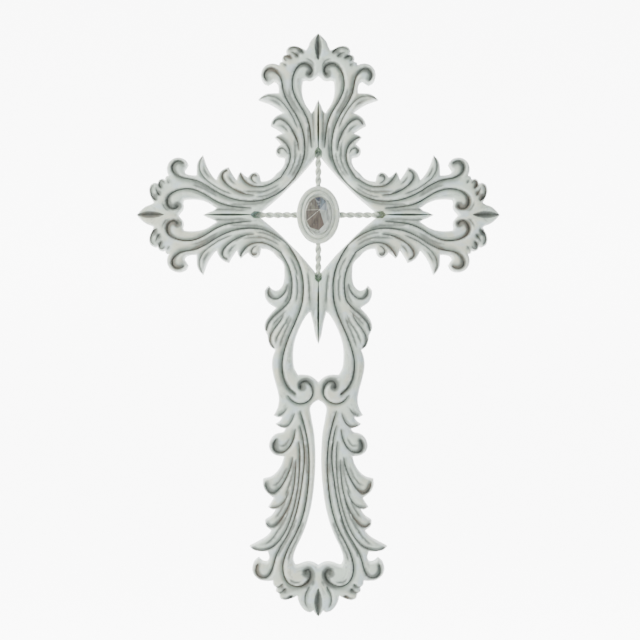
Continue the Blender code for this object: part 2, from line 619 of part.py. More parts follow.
def cut_rod_seats(frame, cutters):
    """A pointed notch at each corner of the diamond, open to the front, for a rod's end."""
    half = ROD_DIAMETER / 2 + CLEARANCE
    floor = ROD_AXIS_HEIGHT - half
    for name, (dx, dz), _, outer in rod_stations():
        end = outer + CLEARANCE
        start = end - CUTTER_REACH
        along = [(start, -half), (end, -half), (end + half, 0), (end, half), (start, half)]
        outline = [(dx * a - dz * b, dz * a + dx * b) for a, b in along]
        cut(frame, prism(name + "_seat", outline, floor, CREST_HEIGHT + CUTTER_REACH, cutters))


def loft(name, rings, collection):
    """A closed body through rings of as many points each, capped flat at both ends."""
    bm = bmesh.new()
    rows = [[bm.verts.new(point) for point in ring] for ring in rings]
    for row, following in zip(rows, rows[1:]):
        for n in range(len(row)):
            m = (n + 1) % len(row)
            bm.faces.new((row[n], row[m], following[m], following[n]))
    bm.faces.new(rows[0])
    bm.faces.new(rows[-1])
    return new_object(name, mesh_from(bm, name), collection)


def rod_section(turn):
    """Outline of the two strands of a rod side by side, turned about the rod's axis."""
    wide, thin_half = ROD_DIAMETER / 2, ROD_THINNEST / 2
    corners = [(wide, 0), (wide / 2, thin_half), (-wide / 2, thin_half),
               (-wide, 0), (-wide / 2, -thin_half), (wide / 2, -thin_half)]
    return [(x * math.cos(turn) - y * math.sin(turn), x * math.sin(turn) + y * math.cos(turn))
            for x, y in corners]


def build_rods(collection):
    """Four rods of two strands twisted together, from the medallion to the diamond's corners."""
    rods = []
    for name, (dx, dz), inner, outer in rod_stations():
        steps = max(2, round((outer - inner) / ROD_LOBE_PITCH * ROD_STEPS_PER_LOBE))
        rings = []
        for n in range(steps + 1):
            along = inner + (outer - inner) * n / steps
            turn = math.pi * (along - inner) / ROD_LOBE_PITCH
            rings.append([(dx * along + dz * b, a - ROD_AXIS_HEIGHT, dz * along - dx * b)
                          for a, b in rod_section(turn)])
        rods.append(loft(name, rings, collection))
    return rods


def oval(inset, height, width=MEDALLION_WIDTH, tall=MEDALLION_HEIGHT, sides=MEDALLION_SIDES, phase=0.0):
    """A ring of points on an oval, inset from its full size, at a height off the wall."""
    turns = [2 * math.pi * (n + phase) / sides for n in range(sides)]
    return [((width / 2 - inset) * math.cos(t), -height, (tall / 2 - inset) * math.sin(t)) for t in turns]


def socket_rings(direction, start):
    """Two rings of a round cutter that holds a rod's end, from its inner end outwards."""
    dx, dz = direction
    half_side = math.pi / SOCKET_SIDES
    radius = (ROD_DIAMETER / 2 + CLEARANCE) / math.cos(half_side)
    turns = [half_side * (2 * n + 1) for n in range(SOCKET_SIDES)]
    disc = [(radius * math.cos(t), radius * math.sin(t)) for t in turns]
    return [[(dx * along + dz * b, a - ROD_AXIS_HEIGHT, dz * along - dx * b) for a, b in disc]
            for along in (start, start + CUTTER_REACH)]


def build_medallion(collection, cutters):
    """An oval boss with a stepped rim, a seat for the jewel and a socket for each rod."""
    groove = RIM_WIDTH_FLAT + RIM_GROOVE_WIDTH
    seat_size = JEWEL_WIDTH + 2 * CLEARANCE, JEWEL_HEIGHT + 2 * CLEARANCE
    rings = [
        oval(0, MEDALLION_BACK),
        oval(0, MEDALLION_RIM - RIM_BEVEL),
        oval(RIM_BEVEL, MEDALLION_RIM),
        oval(RIM_WIDTH_FLAT, MEDALLION_RIM),
        oval(groove, MEDALLION_RIM - RIM_GROOVE_DEPTH),
        oval(groove + RIM_GROOVE_WIDTH, MEDALLION_DISH),
        oval(0, MEDALLION_BEZEL, *seat_size),
        oval(0, MEDALLION_BEZEL - JEWEL_SEAT_DEPTH, *seat_size),
    ]
    medallion = loft("medallion", rings, collection)
    for name, direction, inner, _ in rod_stations():
        cut(medallion, loft(name + "_socket", socket_rings(direction, inner - CLEARANCE), cutters))
    return medallion


def build_jewel(collection):
    """A faceted oval jewel with a flat back and a small flat table."""
    size = JEWEL_WIDTH, JEWEL_HEIGHT
    back = MEDALLION_BEZEL - JEWEL_SEAT_DEPTH + CLEARANCE
    girdle = back + JEWEL_GIRDLE
    points = oval(0, back, *size, JEWEL_SIDES) + oval(0, girdle, *size, JEWEL_SIDES)
    shoulder = girdle + SHOULDER_RISE * JEWEL_CROWN
    points += oval(SHOULDER_INSET * JEWEL_WIDTH / 2, shoulder, *size, JEWEL_SIDES // 2, 0.5)
    points += oval(TABLE_INSET * JEWEL_WIDTH / 2, girdle + JEWEL_CROWN, *size, JEWEL_SIDES // 2)
    bm = bmesh.new()
    for point in points:
        bm.verts.new(point)
    bmesh.ops.convex_hull(bm, input=bm.verts)
    bmesh.ops.dissolve_limit(bm, angle_limit=math.radians(0.5), verts=bm.verts, edges=bm.edges)
    return new_object("jewel", mesh_from(bm, "jewel"), collection)


def shade_round(item):
    """Smooth shading across a piece's round faces, with its corners kept sharp."""
    item.data.shade_smooth()
    item.data.set_sharp_from_angle(angle=SHARP_ANGLE)


def finish(item, name, color, roughness, metallic):
    """Gives an object its own plain material."""
    material = bpy.data.materials.new(name)
    material.use_nodes = True
    shader = material.node_tree.nodes["Principled BSDF"]
    shader.inputs["Base Color"].default_value = (*color, 1.0)
    shader.inputs["Roughness"].default_value = roughness
    shader.inputs["Metallic"].default_value = metallic
    item.data.materials.append(material)


def main():
    for item in list(bpy.data.objects):
        bpy.data.objects.remove(item)
    collection = bpy.data.collections.new("scalloped_cross")
    cutters = bpy.data.collections.new("cutters")
    for group in (collection, cutters):
        bpy.context.scene.collection.children.link(group)
    frame = build_frame(collection)
    cut_keyhole(frame, cutters)
    cut_rod_seats(frame, cutters)
    finish(frame, "whitewashed wood", (0.55, 0.60, 0.56), 0.75, 0.0)
    for rod in build_rods(collection):
        shade_round(rod)
        finish(rod, rod.name + " paint", (0.54, 0.56, 0.51), 0.6, 0.0)
    medallion = build_medallion(collection, cutters)
    shade_round(medallion)
    finish(medallion, "medallion paint", (0.58, 0.62, 0.57), 0.6, 0.0)
    finish(build_jewel(collection), "smoky jewel", (0.16, 0.14, 0.14), 0.08, 0.4)


if __name__ == "__main__":
    main()
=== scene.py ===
"""Looks of an openwork wall cross: carved and whitewashed wood, twisted rods, and a jewelled boss.

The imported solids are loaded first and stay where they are. Each operator below makes one piece or one
group of like pieces in their place, from sizes and colours that can be changed in the sidebar. The
drawing of the carving is in millimetres from the crossing: (across an arm, along it).
"""
import math

import bmesh
import bpy
import numpy as np
from bpy.props import FloatProperty, FloatVectorProperty, IntProperty, PointerProperty
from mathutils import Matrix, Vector
from mathutils.geometry import delaunay_2d_cdt
from mathutils.kdtree import KDTree


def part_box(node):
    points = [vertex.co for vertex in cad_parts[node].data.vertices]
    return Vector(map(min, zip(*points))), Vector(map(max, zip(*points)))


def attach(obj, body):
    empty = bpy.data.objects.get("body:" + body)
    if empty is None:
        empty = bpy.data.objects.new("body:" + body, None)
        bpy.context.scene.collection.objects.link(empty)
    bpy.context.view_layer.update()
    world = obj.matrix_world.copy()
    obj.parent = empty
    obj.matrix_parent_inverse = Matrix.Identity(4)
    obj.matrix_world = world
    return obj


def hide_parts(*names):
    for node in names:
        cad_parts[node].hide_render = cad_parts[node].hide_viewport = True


bl_info = {
    "name": "Scalloped Cross",
    "version": (1, 0, 0),
    "blender": (4, 5, 0),
    "location": "3D View > Sidebar > Cross",
    "description": "Carves, paints and lights an openwork wall cross with a jewelled boss",
    "category": "Add Mesh",
}

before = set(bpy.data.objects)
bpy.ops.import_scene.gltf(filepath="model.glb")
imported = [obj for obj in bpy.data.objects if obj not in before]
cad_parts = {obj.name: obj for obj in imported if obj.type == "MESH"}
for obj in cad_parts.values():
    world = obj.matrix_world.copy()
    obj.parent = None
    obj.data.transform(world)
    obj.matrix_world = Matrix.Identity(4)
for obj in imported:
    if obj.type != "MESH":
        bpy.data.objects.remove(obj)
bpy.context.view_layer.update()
BODY = "root"
UP, RIGHT, LEFT, DOWN = (0, 1), (1, 0), (-1, 0), (0, -1)
RODS = {"rod_top": UP, "rod_right": RIGHT, "rod_bottom": DOWN, "rod_left": LEFT}

# The drawing's scale and the crossing's height come from the carved solid.
FRAME_LOW, FRAME_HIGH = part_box("cross_frame")
DRAWN_HEIGHT, DRAWN_TOP = 583.2, 181.7
UNIT = (FRAME_HIGH.z - FRAME_LOW.z) / DRAWN_HEIGHT
CROSSING_Z = FRAME_HIGH.z - DRAWN_TOP * UNIT
CREST = FRAME_HIGH.y - FRAME_LOW.y

# Chains of named runs. Each run is a smooth curve that starts where the run before it ended.
ARM_EDGE = [
    ("hollow", [(41.7, 41.7), (37, 46), (34.3, 51), (33.4, 57)]),
    ("curl", [(36, 57.8), (39.5, 58.6), (42.4, 61.5), (42.5, 65), (40.5, 68.3), (37.5, 70.5)]),
    ("third leaf, under", [(39.5, 73.5), (43.5, 77.8)]),
    ("third leaf, top", [(41, 79.7), (38, 80.7), (35, 81.8)]),
    ("second leaf, under", [(39.5, 84.8), (44, 87.6), (47.8, 89.5)]),
    ("second leaf, top", [(46.8, 93.2), (43.5, 97.8), (39.5, 100.3), (35, 102)]),
    ("first leaf, under", [(38, 104.8), (43, 108.4), (49, 111.6), (55, 113.8), (60, 115.5)]),
    ("first leaf, top", [(56, 119), (51, 121.3), (45.5, 121.7), (39.7, 121.8)]),
    ("hook, inside", [(39.8, 127), (41.2, 132), (44.2, 134), (47, 132.2), (50.5, 130.3)]),
    ("hook, outside", [(54.6, 132.4), (57.3, 138), (56.6, 144.2), (52.8, 149.2), (47, 151.4), (42.5, 151),
        (39.3, 149.8)]),
    ("small scallop", [(38.6, 152.2), (35.4, 153.4)]),
    ("middle scallop", [(36.3, 156), (34.9, 159.2), (31.6, 160.6)]),
    ("large scallop", [(32.2, 163.8), (30, 167.6), (25, 169.2), (19.5, 168.2), (15.2, 166), (12.3, 164.6)]),
    ("petal", [(10.3, 168), (8.6, 172.6), (4.6, 177.6), (0, 181.7)]),
]
HEART_EDGE = [
    ("scroll", [(0, 140.3), (2.8, 138), (5.2, 136), (9, 135), (12.6, 135.6), (15.4, 134.6)]),
    ("side", [(16, 130), (16, 123), (14.8, 116), (12, 109.5), (9, 105), (7, 101.8)]),
    ("spike", [(4.6, 105), (2.6, 110), (0, 115.3)]),
]
DIAMOND_EDGE = [
    ("side", [(28.7, 28.7), (20, 37.4), (10, 48.8), (0, 61)]),
]
LOWER_EDGE = [
    ("hollow", [(41.7, -41.7), (37, -46), (34.6, -51), (34.2, -57), (34.3, -64), (36.2, -71), (41, -75.3),
        (45.8, -74.4), (49.5, -70.5)]),
    ("curl", [(53.4, -75), (53.6, -81), (50.3, -87.5), (42.4, -93)]),
    ("first leaf", [(48, -99), (52.7, -106), (54, -113), (51, -120.4)]),
    ("second leaf", [(50, -126), (47.7, -131.5), (43.2, -135)]),
    ("strand", [(45.6, -142), (46.5, -150), (45.5, -158), (43, -168), (40.8, -176), (39.6, -184),
        (40.4, -191), (42.6, -196.5), (44.8, -200.2)]),
    ("third leaf, under", [(40, -202.4), (36.2, -202.2)]),
    ("fourth leaf, top", [(38.6, -206), (42.8, -209.2)]),
    ("fourth leaf, under", [(38.8, -212), (32.8, -213.8)]),
    ("lower curl", [(35.5, -217.4), (40, -218.4), (44.5, -220.5), (48.3, -225.5), (49.4, -231.5), (47, -237),
        (42, -240.4), (34.4, -241.5)]),
    ("fifth leaf, top", [(37, -250), (42, -257.6), (47.6, -262), (55.2, -264)]),
    ("fifth leaf, end", [(55.4, -270), (52.4, -276.6), (44.6, -283)]),
    ("sixth leaf, top", [(47, -287.3), (50.2, -292)]),
    ("sixth leaf, under", [(46, -294.4), (42.2, -294.2)]),
    ("seventh leaf, top", [(46.4, -300.3), (53.4, -305.4)]),
    ("seventh leaf, end", [(52.6, -310.6), (46.6, -315.6)]),
    ("eighth leaf, top", [(51.5, -321.5), (59.6, -326.6), (68.8, -331.4)]),
    ("eighth leaf, under", [(65, -334.8), (57.5, -336.6), (50.6, -336.4)]),
    ("hook, inside", [(49.2, -342), (51, -346.8), (55, -346.8), (60, -343)]),
    ("hook, outside", [(64.6, -347.5), (66.2, -354), (63.8, -360.4), (57.6, -365), (50.6, -365.8),
        (45.6, -365.6)]),
    ("small scallop", [(45, -369.6), (41.8, -372.6)]),
    ("middle scallop", [(42.6, -375.6), (39.2, -378.6)]),
    ("large scallop", [(38, -383), (33, -385), (27, -383.6), (21, -380.8)]),
    ("petal", [(20.2, -385), (17.4, -391.2), (12.4, -396), (7.6, -397.2), (5, -395.6)]),
    ("foot", [(2.6, -399), (0, -401.5)]),
]
DROP_EDGE = [
    ("spike", [(0, -129.5), (3, -121), (5.2, -109), (8.2, -97)]),
    ("side", [(11, -99.5), (15.5, -106.5), (20.4, -117), (24, -128.5), (25.2, -141), (24, -153),
        (20.4, -160)]),
    ("scroll", [(15.6, -159.8), (10, -160.4), (4.6, -163), (0, -167.3)]),
]
SLOT_EDGE = [
    ("side", [(0, -185.2), (4.2, -187.6), (7.8, -192.5), (6.8, -203), (4, -219), (2.9, -235), (2.8, -250),
        (3.6, -265), (5.2, -280), (7.6, -294), (12, -310), (17, -322.5), (21.4, -331.5), (24.2, -339.5),
        (24.8, -345.5), (23, -350.6)]),
    ("scroll", [(19.5, -350), (15.6, -348.4), (11, -347.4), (6.5, -347.8), (2.8, -349.2), (0, -351.2)]),
]

# Grooves: name, depth share, width of the dark stain round the free end, width over which the hollow
# fades out on its open side, and points from the free end to the root. The crest of a strand rises on
# the left of its groove. A negative width puts the crest of a curl on its outer side.
ARM_GROOVES = [
    ("scroll", 1.0, 2.5, 3.8, [(8.6, 140.2), (6.4, 142.2), (6, 145.6), (8.5, 149.2), (13.3, 150.9),
        (18.5, 149.4), (22.8, 144.5), (25.4, 137), (26, 130), (25, 123.5), (22, 116), (17.7, 108.5),
        (13.2, 101), (10, 93), (8.2, 84), (7.2, 74), (6.6, 65)]),
    ("main", 1.0, -2.3, 5.4, [(51.6, 134.5), (53.6, 139), (52, 143.8), (48, 145.8), (43.8, 144.8),
        (39.8, 141), (37.2, 136), (36, 130), (34.6, 122.5), (31.6, 115.5), (27.6, 108.5), (22.8, 101),
        (18.8, 93), (15.8, 84.5), (14, 75), (13.6, 66), (14.6, 57), (17.2, 49), (21.2, 41.5), (26, 34.6),
        (30, 30)]),
    ("first leaf", 0.55, 0.9, 4.2, [(57.5, 116), (52, 118.2), (46, 118.2), (40.5, 116), (35.5, 112),
        (31, 106.5), (27, 100.5), (23, 92.5), (20, 84)]),
    ("second leaf", 0.85, 1.3, 4.2, [(44.2, 91), (42.2, 94.3), (38, 95.4), (33.4, 93.3), (28.8, 88.8),
        (24.8, 83), (21.8, 76.5), (20, 69), (19.4, 62)]),
    ("third leaf", 0.85, 1.3, 4.4, [(41, 77.3), (36.4, 75), (32, 71), (29, 65.8), (28, 60), (28.6, 53.5),
        (31.2, 47), (35, 41), (37.3, 37.3)]),
    ("curl", 0.7, -1.5, 2.6, [(39, 61.6), (40.4, 63.6), (38.8, 66), (35, 66), (32, 63), (30.6, 59)]),
    ("large scallop", 0.95, 2.8, 3.4, [(15, 162.5), (18.5, 165.8), (23.5, 167.2), (28.4, 166),
        (30.4, 162.8)]),
    ("large scallop, inner", 0.85, 2.4, 3.0, [(20, 158.6), (24, 161.2), (28.6, 162)]),
    ("middle scallop", 0.9, 2.4, 3.0, [(27, 156.8), (30.6, 158.6), (33.6, 157.8), (33.8, 154.9),
        (30, 152.6)]),
    ("small scallop", 0.6, 1.5, 2.2, [(32, 149), (35, 150.8), (37.8, 150.4)]),
]
LOWER_GROOVES = [
    ("main", 1.0, 1.5, 4.6, [(22.5, -179), (29.5, -172.5), (33.8, -164), (35.8, -154), (35.6, -144),
        (33, -133), (29, -121.5), (24, -110), (19.4, -99), (16, -88), (14.8, -77), (15, -66), (16.8, -56),
        (20.2, -46.5), (25, -37.5), (30, -30)]),
    ("outer", 0.85, 1.5, 4.4, [(51.4, -115), (49.6, -108.4), (45, -102.6), (39, -97), (33, -91.5),
        (28.4, -85.5), (26.4, -76), (26.2, -65), (28, -56), (31.6, -47), (37.3, -37.3)]),
    ("curl", 0.8, 2.0, 3.2, [(49.6, -74.4), (49.6, -78.4), (46.6, -82.8), (41.6, -84.2), (36, -81),
        (31.8, -75), (30, -67)]),
    ("second leaf", 0.7, 1.6, 3.4, [(44.4, -132.4), (47.2, -128), (47.4, -121.5), (43.6, -114), (37.6, -106),
        (33, -97)]),
    ("middle scroll", 1.0, 2.4, 3.2, [(17.4, -173), (18, -169.6), (15.2, -166.8), (11, -166.6), (7.6, -169.4),
        (5.6, -174), (5.6, -179.6), (8.6, -184.6), (13.6, -187.8), (19, -188.6), (24.4, -186.6), (28.4, -183),
        (31.4, -178.4)]),
    ("third leaf", 0.6, 1.3, 3.4, [(39.4, -200.8), (34.2, -197.4), (30, -191)]),
    ("fourth leaf", 0.7, 1.3, 3.6, [(39.6, -210.8), (34.4, -212), (29.4, -209.8), (25.5, -204), (23, -196)]),
    ("lower curl", 0.95, 3.0, 4.6, [(42.4, -224.6), (44.6, -230), (42.6, -235.8), (37.4, -237.6),
        (31.6, -235), (27, -229.4), (24, -222), (22.6, -212)]),
    ("fifth leaf", 0.9, 2.4, 4.4, [(52.6, -268), (50.4, -274.8), (45.4, -278.2), (39.6, -274.6), (34, -267),
        (29.6, -258), (26.6, -249), (25, -240)]),
    ("sixth leaf", 0.6, 1.3, 3.4, [(47.4, -292.8), (41.4, -292), (36, -288.4), (31.6, -282), (28, -272)]),
    ("seventh leaf", 0.8, 1.7, 3.8, [(51.4, -308.2), (48, -311.4), (43.4, -310.6), (38, -305.5), (32, -296),
        (27, -284), (24.2, -272), (22.4, -254), (22.2, -242)]),
    ("eighth leaf", 0.8, 1.5, 3.8, [(65.6, -332.8), (59, -335), (52, -334.2), (45.4, -331.4), (39, -325.4),
        (33, -316.5), (27, -302), (22.6, -286), (19.8, -270), (18.2, -250), (18.2, -236), (19.6, -224)]),
    ("hook", 0.9, 2.2, 3.4, [(60.6, -349), (62, -354), (60.4, -359.4), (55.6, -362.4), (50.4, -361),
        (46.4, -355.4), (44, -348), (41.6, -339.6), (36.6, -330), (29, -317), (22.6, -300), (18, -280),
        (15.4, -262), (13.8, -248), (13.9, -234), (15.8, -220), (18.8, -208)]),
    ("inner", 1.0, 2.6, 3.8, [(13, -355), (9.4, -354.2), (7.4, -358.4), (9, -364), (13.4, -368.8),
        (19.6, -371), (26, -370), (31.4, -365.6), (34.6, -358), (35, -349), (32, -338), (27, -327),
        (21, -315.5), (16, -303), (12.6, -289), (10.4, -274), (9.2, -259), (9.0, -244), (10, -229),
        (12.6, -215), (15.8, -203), (18.8, -194)]),
    ("petal side", 0.6, 1.2, 2.4, [(9, -371.5), (12.6, -379), (13, -387), (9.4, -394)]),
    ("small scallop", 0.8, 2.1, 2.6, [(36, -369), (40, -371.6), (43.8, -370)]),
    ("middle scallop", 0.9, 2.4, 2.8, [(33, -373.4), (37.4, -377), (41, -376)]),
    ("large scallop", 0.9, 2.4, 3.0, [(26.6, -380.4), (31.6, -382.6), (36.4, -381.4)]),
]
# Light scratches of the gouge between the grooves: points, tapering at both ends.
ARM_SCRATCHES = [
    [(4.2, 112), (5.2, 98), (4.8, 84), (4, 69)],
    [(11.2, 90), (10.2, 80), (10.4, 68), (11.6, 58), (14.4, 49)],
    [(29.6, 128), (28.6, 121), (25.6, 113.6), (21.4, 106.4), (16.8, 98)],
    [(22.2, 66), (22.6, 57), (24.6, 49.5), (28.2, 42.4), (32, 37)],
    [(17.2, 64), (18.2, 55.6), (20.8, 48), (25, 40.6), (28.6, 36)],
    [(50, 114.8), (44.6, 113.4), (39.4, 110.4), (35, 106)],
    [(41.4, 89), (37, 88.6), (32.6, 85.4), (28.6, 80)],
    [(38.4, 132), (33.2, 124), (28.8, 115), (24, 106.8), (19.2, 99)],
    [(24.6, 76), (23, 69.4), (23, 61), (25, 53)],
    [(31.4, 93), (27.4, 87), (23.8, 79), (21, 71)],
    [(3, 146), (5, 151), (9.4, 154.6), (15, 155.6)],
]
LOWER_SCRATCHES = [
    [(11, -55), (9, -70), (8.5, -80), (8, -92)],
    [(20.6, -64), (22, -55), (25.4, -46.6), (29.6, -40)],
    [(22.6, -90), (20.6, -78), (20.8, -66), (22.8, -56)],
    [(46.6, -113), (43, -107), (37, -101), (30, -94)],
    [(38.6, -226.6), (37.6, -230.6), (33.6, -230), (30, -225.6), (27.6, -220)],
    [(47.6, -268.6), (43.4, -269.6), (38, -265), (33.6, -257.6), (30.4, -249)],
    [(44.6, -304), (40, -299), (35, -290.6), (31, -281)],
    [(56, -329.6), (49.6, -326.6), (43, -319.6), (37.4, -310.6), (32, -299)],
    [(40.6, -344), (37.6, -335.6), (31, -324.6), (25.6, -313), (20.8, -300)],
    [(30.4, -348), (28, -338), (23.6, -328.6), (18.4, -317), (13.6, -304)],
    [(11.4, -262), (11.6, -248), (12.2, -238), (13.6, -226)],
    [(19.4, -264), (19.4, -250), (18.8, -240), (19.4, -228)],
    [(30.2, -361), (26.6, -365.6), (20, -366.8), (15, -364.6)],
    [(43, -131), (41.4, -124), (37, -115.4), (31, -105.6), (28, -98)],
    [(38.6, -135), (36.8, -127), (33.6, -118.6), (29.4, -109), (26, -100)],
    [(37, -90), (32, -85), (29, -76), (29, -66)],
    [(33.6, -282), (29, -270), (25.4, -256), (24, -243)],
    [(41.6, -318), (35, -308), (29.4, -294), (25, -279)],
    [(3.6, -360), (4.6, -367), (8, -373)],
]
# Straight cuts on an arm's own centre line: from, to, half-width.
ARM_SLITS = [(64.0, 113.5, 1.5), (153.5, 181.0, 4.3)]
LOWER_SLITS = [(-128.0, -65.0, 1.5), (-400.5, -372.0, 4.8)]
# Broad soft shades: middle, half sizes and strength.
ARM_SHADES = [((6.6, 92), (4.4, 26), 0.75), ((27.5, 118), (3.6, 16), 0.4), ((44, 115.6), (11, 3.6), 0.45),
              ((36, 91.5), (7, 4), 0.35), ((28, 157), (9, 8), 0.5), ((23, 70), (4, 18), 0.35)]
LOWER_SHADES = [((6.6, -94), (4.4, 28), 0.75), ((21, -112), (5, 22), 0.4), ((40, -97), (9, 7), 0.35),
                ((36.5, -150), (4, 22), 0.45), ((13, -205), (6, 18), 0.35), ((12, -255), (4, 34), 0.4),
                ((36, -236), (8, 5), 0.4), ((40, -272), (8, 10), 0.3), ((22, -330), (7, 18), 0.4),
                ((30, -375), (11, 7), 0.5)]
# Dark round eyes of the scrolls: place and radius.
ARM_EYES = [((8.8, 140.4), 2.7)]
LOWER_EYES = [((16.2, -171.8), 2.8), ((11.4, -357), 3.2)]

# The face's rise from its edges: the share within the rounded shoulder and the share within the swell.
SHOULDER_RISE, SWELL_RISE = 0.74, 0.26
# Carving in millimetres: its lowest point off the wall, the stain's least width, and a scratch's widths.
LOWEST_CARVING = 7.9
THIN_STAIN = 0.7
SCRATCH_CREST, SCRATCH_STAIN, SCRATCH_FADE, SCRATCH_TAPER = 0.9, 0.5, 2.2, 8.0
# Rows of points that follow the edges and the grooves, and how near they come to others.
LINE_STEP, LINE_CLEARANCE = 0.6, 0.3
RIM_OFFSETS, RIM_KEPT = (0.35, 0.95), 0.85
BESIDE_OFFSETS, BESIDE_EDGE_GAP, BESIDE_POINT_GAP = (0.6, -0.7), 0.45, 0.35
SHARP_ANGLE = math.radians(62)

# What the paint knows at each point: shares of stain, haze and painted crest highlight, millimetres to an
# edge (where the painted rim highlight lies), bare wood.
MASKS = ("hollow", "haze", "crest", "to_edge", "bare")
NO_EDGE_NEAR = 9.0
BARE = (0.0, 0.0, 0.0, NO_EDGE_NEAR, 1.0)

# The long arm is drawn with negative heights, so it is placed as the upper arm is.
SHORT_ARMS, LONG_ARM = (UP, RIGHT, LEFT), (UP,)
# Halves of the arms in their order round the crossing: arm, side, and whether the edge runs outwards.
ARM_HALVES = [(RIGHT, 1, False), (UP, 1, True), (UP, -1, False), (LEFT, 1, True), (LEFT, -1, False),
              (DOWN, -1, True), (DOWN, 1, False), (RIGHT, -1, True)]


def paint(red, green, blue):
    """A colour as seen on a screen, 0 to 255, as the linear values that materials take."""
    shares = (red / 255, green / 255, blue / 255)
    return tuple(c / 12.92 if c <= 0.04045 else ((c + 0.055) / 1.055) ** 2.4 for c in shares)


def length_property(name, description, default, low=0.0):
    """A length in metres, with a lower limit that is never negative."""
    return FloatProperty(name=name, description=description, default=default, min=low, unit="LENGTH",
                         precision=4)


def plain_property(name, description, default, low, high):
    """A number without a unit, between two limits."""
    return FloatProperty(name=name, description=description, default=default, min=low, max=high)


def power_property(name, description, default):
    """The power of a light in watts."""
    return FloatProperty(name=name, description=description, default=default, min=0.0, unit="POWER")


def colour_property(name, description, default):
    """A colour that the sidebar shows as a swatch."""
    return FloatVectorProperty(name=name, description=description, default=default, size=3,
                               subtype="COLOR", min=0.0, max=1.0)


class CarvingSettings(bpy.types.PropertyGroup):
    """Sizes of the carving on the wooden cross."""

    edge_height: length_property("Edge height", "How far the sharp edges stand off the wall", 0.0090)
    shoulder_width: length_property("Shoulder width", "Width of the rounding along every edge", 0.0022)
    swell_width: length_property("Swell width", "How far from an edge the wood is at its full height", 0.0080)
    groove_depth: length_property("Groove depth", "Depth of the deepest grooves", 0.0043)
    crest_width: length_property("Crest width", "Width of the steep side of a groove", 0.0015)
    scratch_depth: length_property("Scratch depth", "Depth of the gouge's light scratches", 0.0017)
    stain_spread: plain_property("Stain spread", "How widely the stain lies in curls", 1.35, 0.5, 3.0)
    point_spacing: length_property("Point spacing", "Distance between points of the face", 0.00122, 0.0004)
    line_spacing: length_property("Line spacing", "Distance between points on edges", 0.0006, 0.0002)


class PaintSettings(bpy.types.PropertyGroup):
    """Colours of the whitewash and of the stain left in its hollows."""

    wash: colour_property("Wash", "The whitewash over most of the wood", paint(209, 224, 211))
    warm: colour_property("Warm patches", "Where the wash has yellowed", paint(213, 215, 194))
    cool: colour_property("Cool patches", "Where the wash lies thick", paint(200, 217, 225))
    aged: colour_property("Aged wash", "The duller wash of the rods and the boss", paint(186, 193, 173))
    # The pale of the rims and crests is a painted highlight.
    pale: colour_property("Pale rims", "Dry-brushed rims and crests", paint(246, 252, 248))
    haze: colour_property("Haze", "Thin stain that fades out of the hollows", paint(138, 149, 141))
    stain: colour_property("Stain", "Thick stain at the bottom of the hollows", paint(110, 116, 111))
    umber: colour_property("Umber", "Where the stain turns brown", paint(118, 111, 101))
    wood: colour_property("Bare wood", "Unpainted wood of the back", paint(116, 88, 60))


class RodSettings(bpy.types.PropertyGroup):
    """Sizes of the twisted rods."""

    strand_diameter: length_property("Strand diameter", "Thickness of one of the two strands", 0.0041)
    rod_diameter: length_property("Rod diameter", "Thickness of both strands across their lobes", 0.0064)
    lobe_pitch: length_property("Lobe pitch", "Distance from one lobe to the next", 0.0086)
    point_length: length_property("Point length", "Length of the tapered outer end", 0.0035)


class BossSettings(bpy.types.PropertyGroup):
    """Sizes of the oval boss and its jewel."""

    rim_width: length_property("Rim width", "Width of the raised rim", 0.0047)
    rim_groove: length_property("Rim groove", "Depth of the fine groove inside the rim", 0.0008)
    seat_depth: length_property("Seat depth", "How deep the jewel sits", 0.0020)
    seat_gap: length_property("Seat gap", "Play round the jewel in its seat", 0.0001)
    sides: IntProperty(name="Sides", description="Points round the oval", default=144, min=24, max=400)
    facet_edge: length_property("Facet edge", "Width of the polished line between facets", 0.00030)


class StageSettings(bpy.types.PropertyGroup):
    """The floor, the lights and the camera."""

    backdrop: colour_property("Backdrop", "Colour of the floor and the backdrop", (0.93, 0.93, 0.93))
    view_distance: length_property("View distance", "From the camera to the cross", 1.5, 0.5)
    view_width: length_property("View width", "Width of the view at the cross", 0.640, 0.1)
    key_power: power_property("Key light", "Power of the large light at upper left", 59.0)
    key_colour: colour_property("Key colour", "Colour of the key light", (0.985, 0.98, 0.92))
    fill_colour: colour_property("Fill colour", "Colour of the fill light", (0.80, 0.92, 1.0))
    fill_power: power_property("Fill light", "Power of the light from the right", 8.0)
    glow: plain_property("Backdrop glow", "How strongly the far backdrop is lit", 7.0, 0.0, 50.0)
    sky: plain_property("Sky", "Strength of the even light from all around", 0.34, 0.0, 5.0)


def smooth(points, spacing):
    """A centripetal spline through the points, at about the spacing given."""
    knots = np.asarray(points, float)
    if len(knots) > 2:
        ends = 2 * knots[0] - knots[1], 2 * knots[-1] - knots[-2]
        knots = np.vstack([ends[0], knots, ends[1]])
        curve = [knots[1]]
        for a, b, c, d in zip(knots[:-3], knots[1:-2], knots[2:-1], knots[3:]):
            t1 = np.linalg.norm(b - a) ** 0.5
            t2 = t1 + np.linalg.norm(c - b) ** 0.5
            t3 = t2 + np.linalg.norm(d - c) ** 0.5
            for t in np.linspace(t1, t2, max(3, math.ceil(4 * np.linalg.norm(c - b))))[1:]:
                ab = a + (b - a) * t / t1
                bc = b + (c - b) * (t - t1) / (t2 - t1)
                cd = c + (d - c) * (t - t2) / (t3 - t2)
                abc = ab + (bc - ab) * t / t2
                bcd = bc + (cd - bc) * (t - t1) / (t3 - t1)
                curve.append(abc + (bcd - abc) * (t - t1) / (t2 - t1))
        knots = np.array(curve)
    return evenly(knots, spacing)


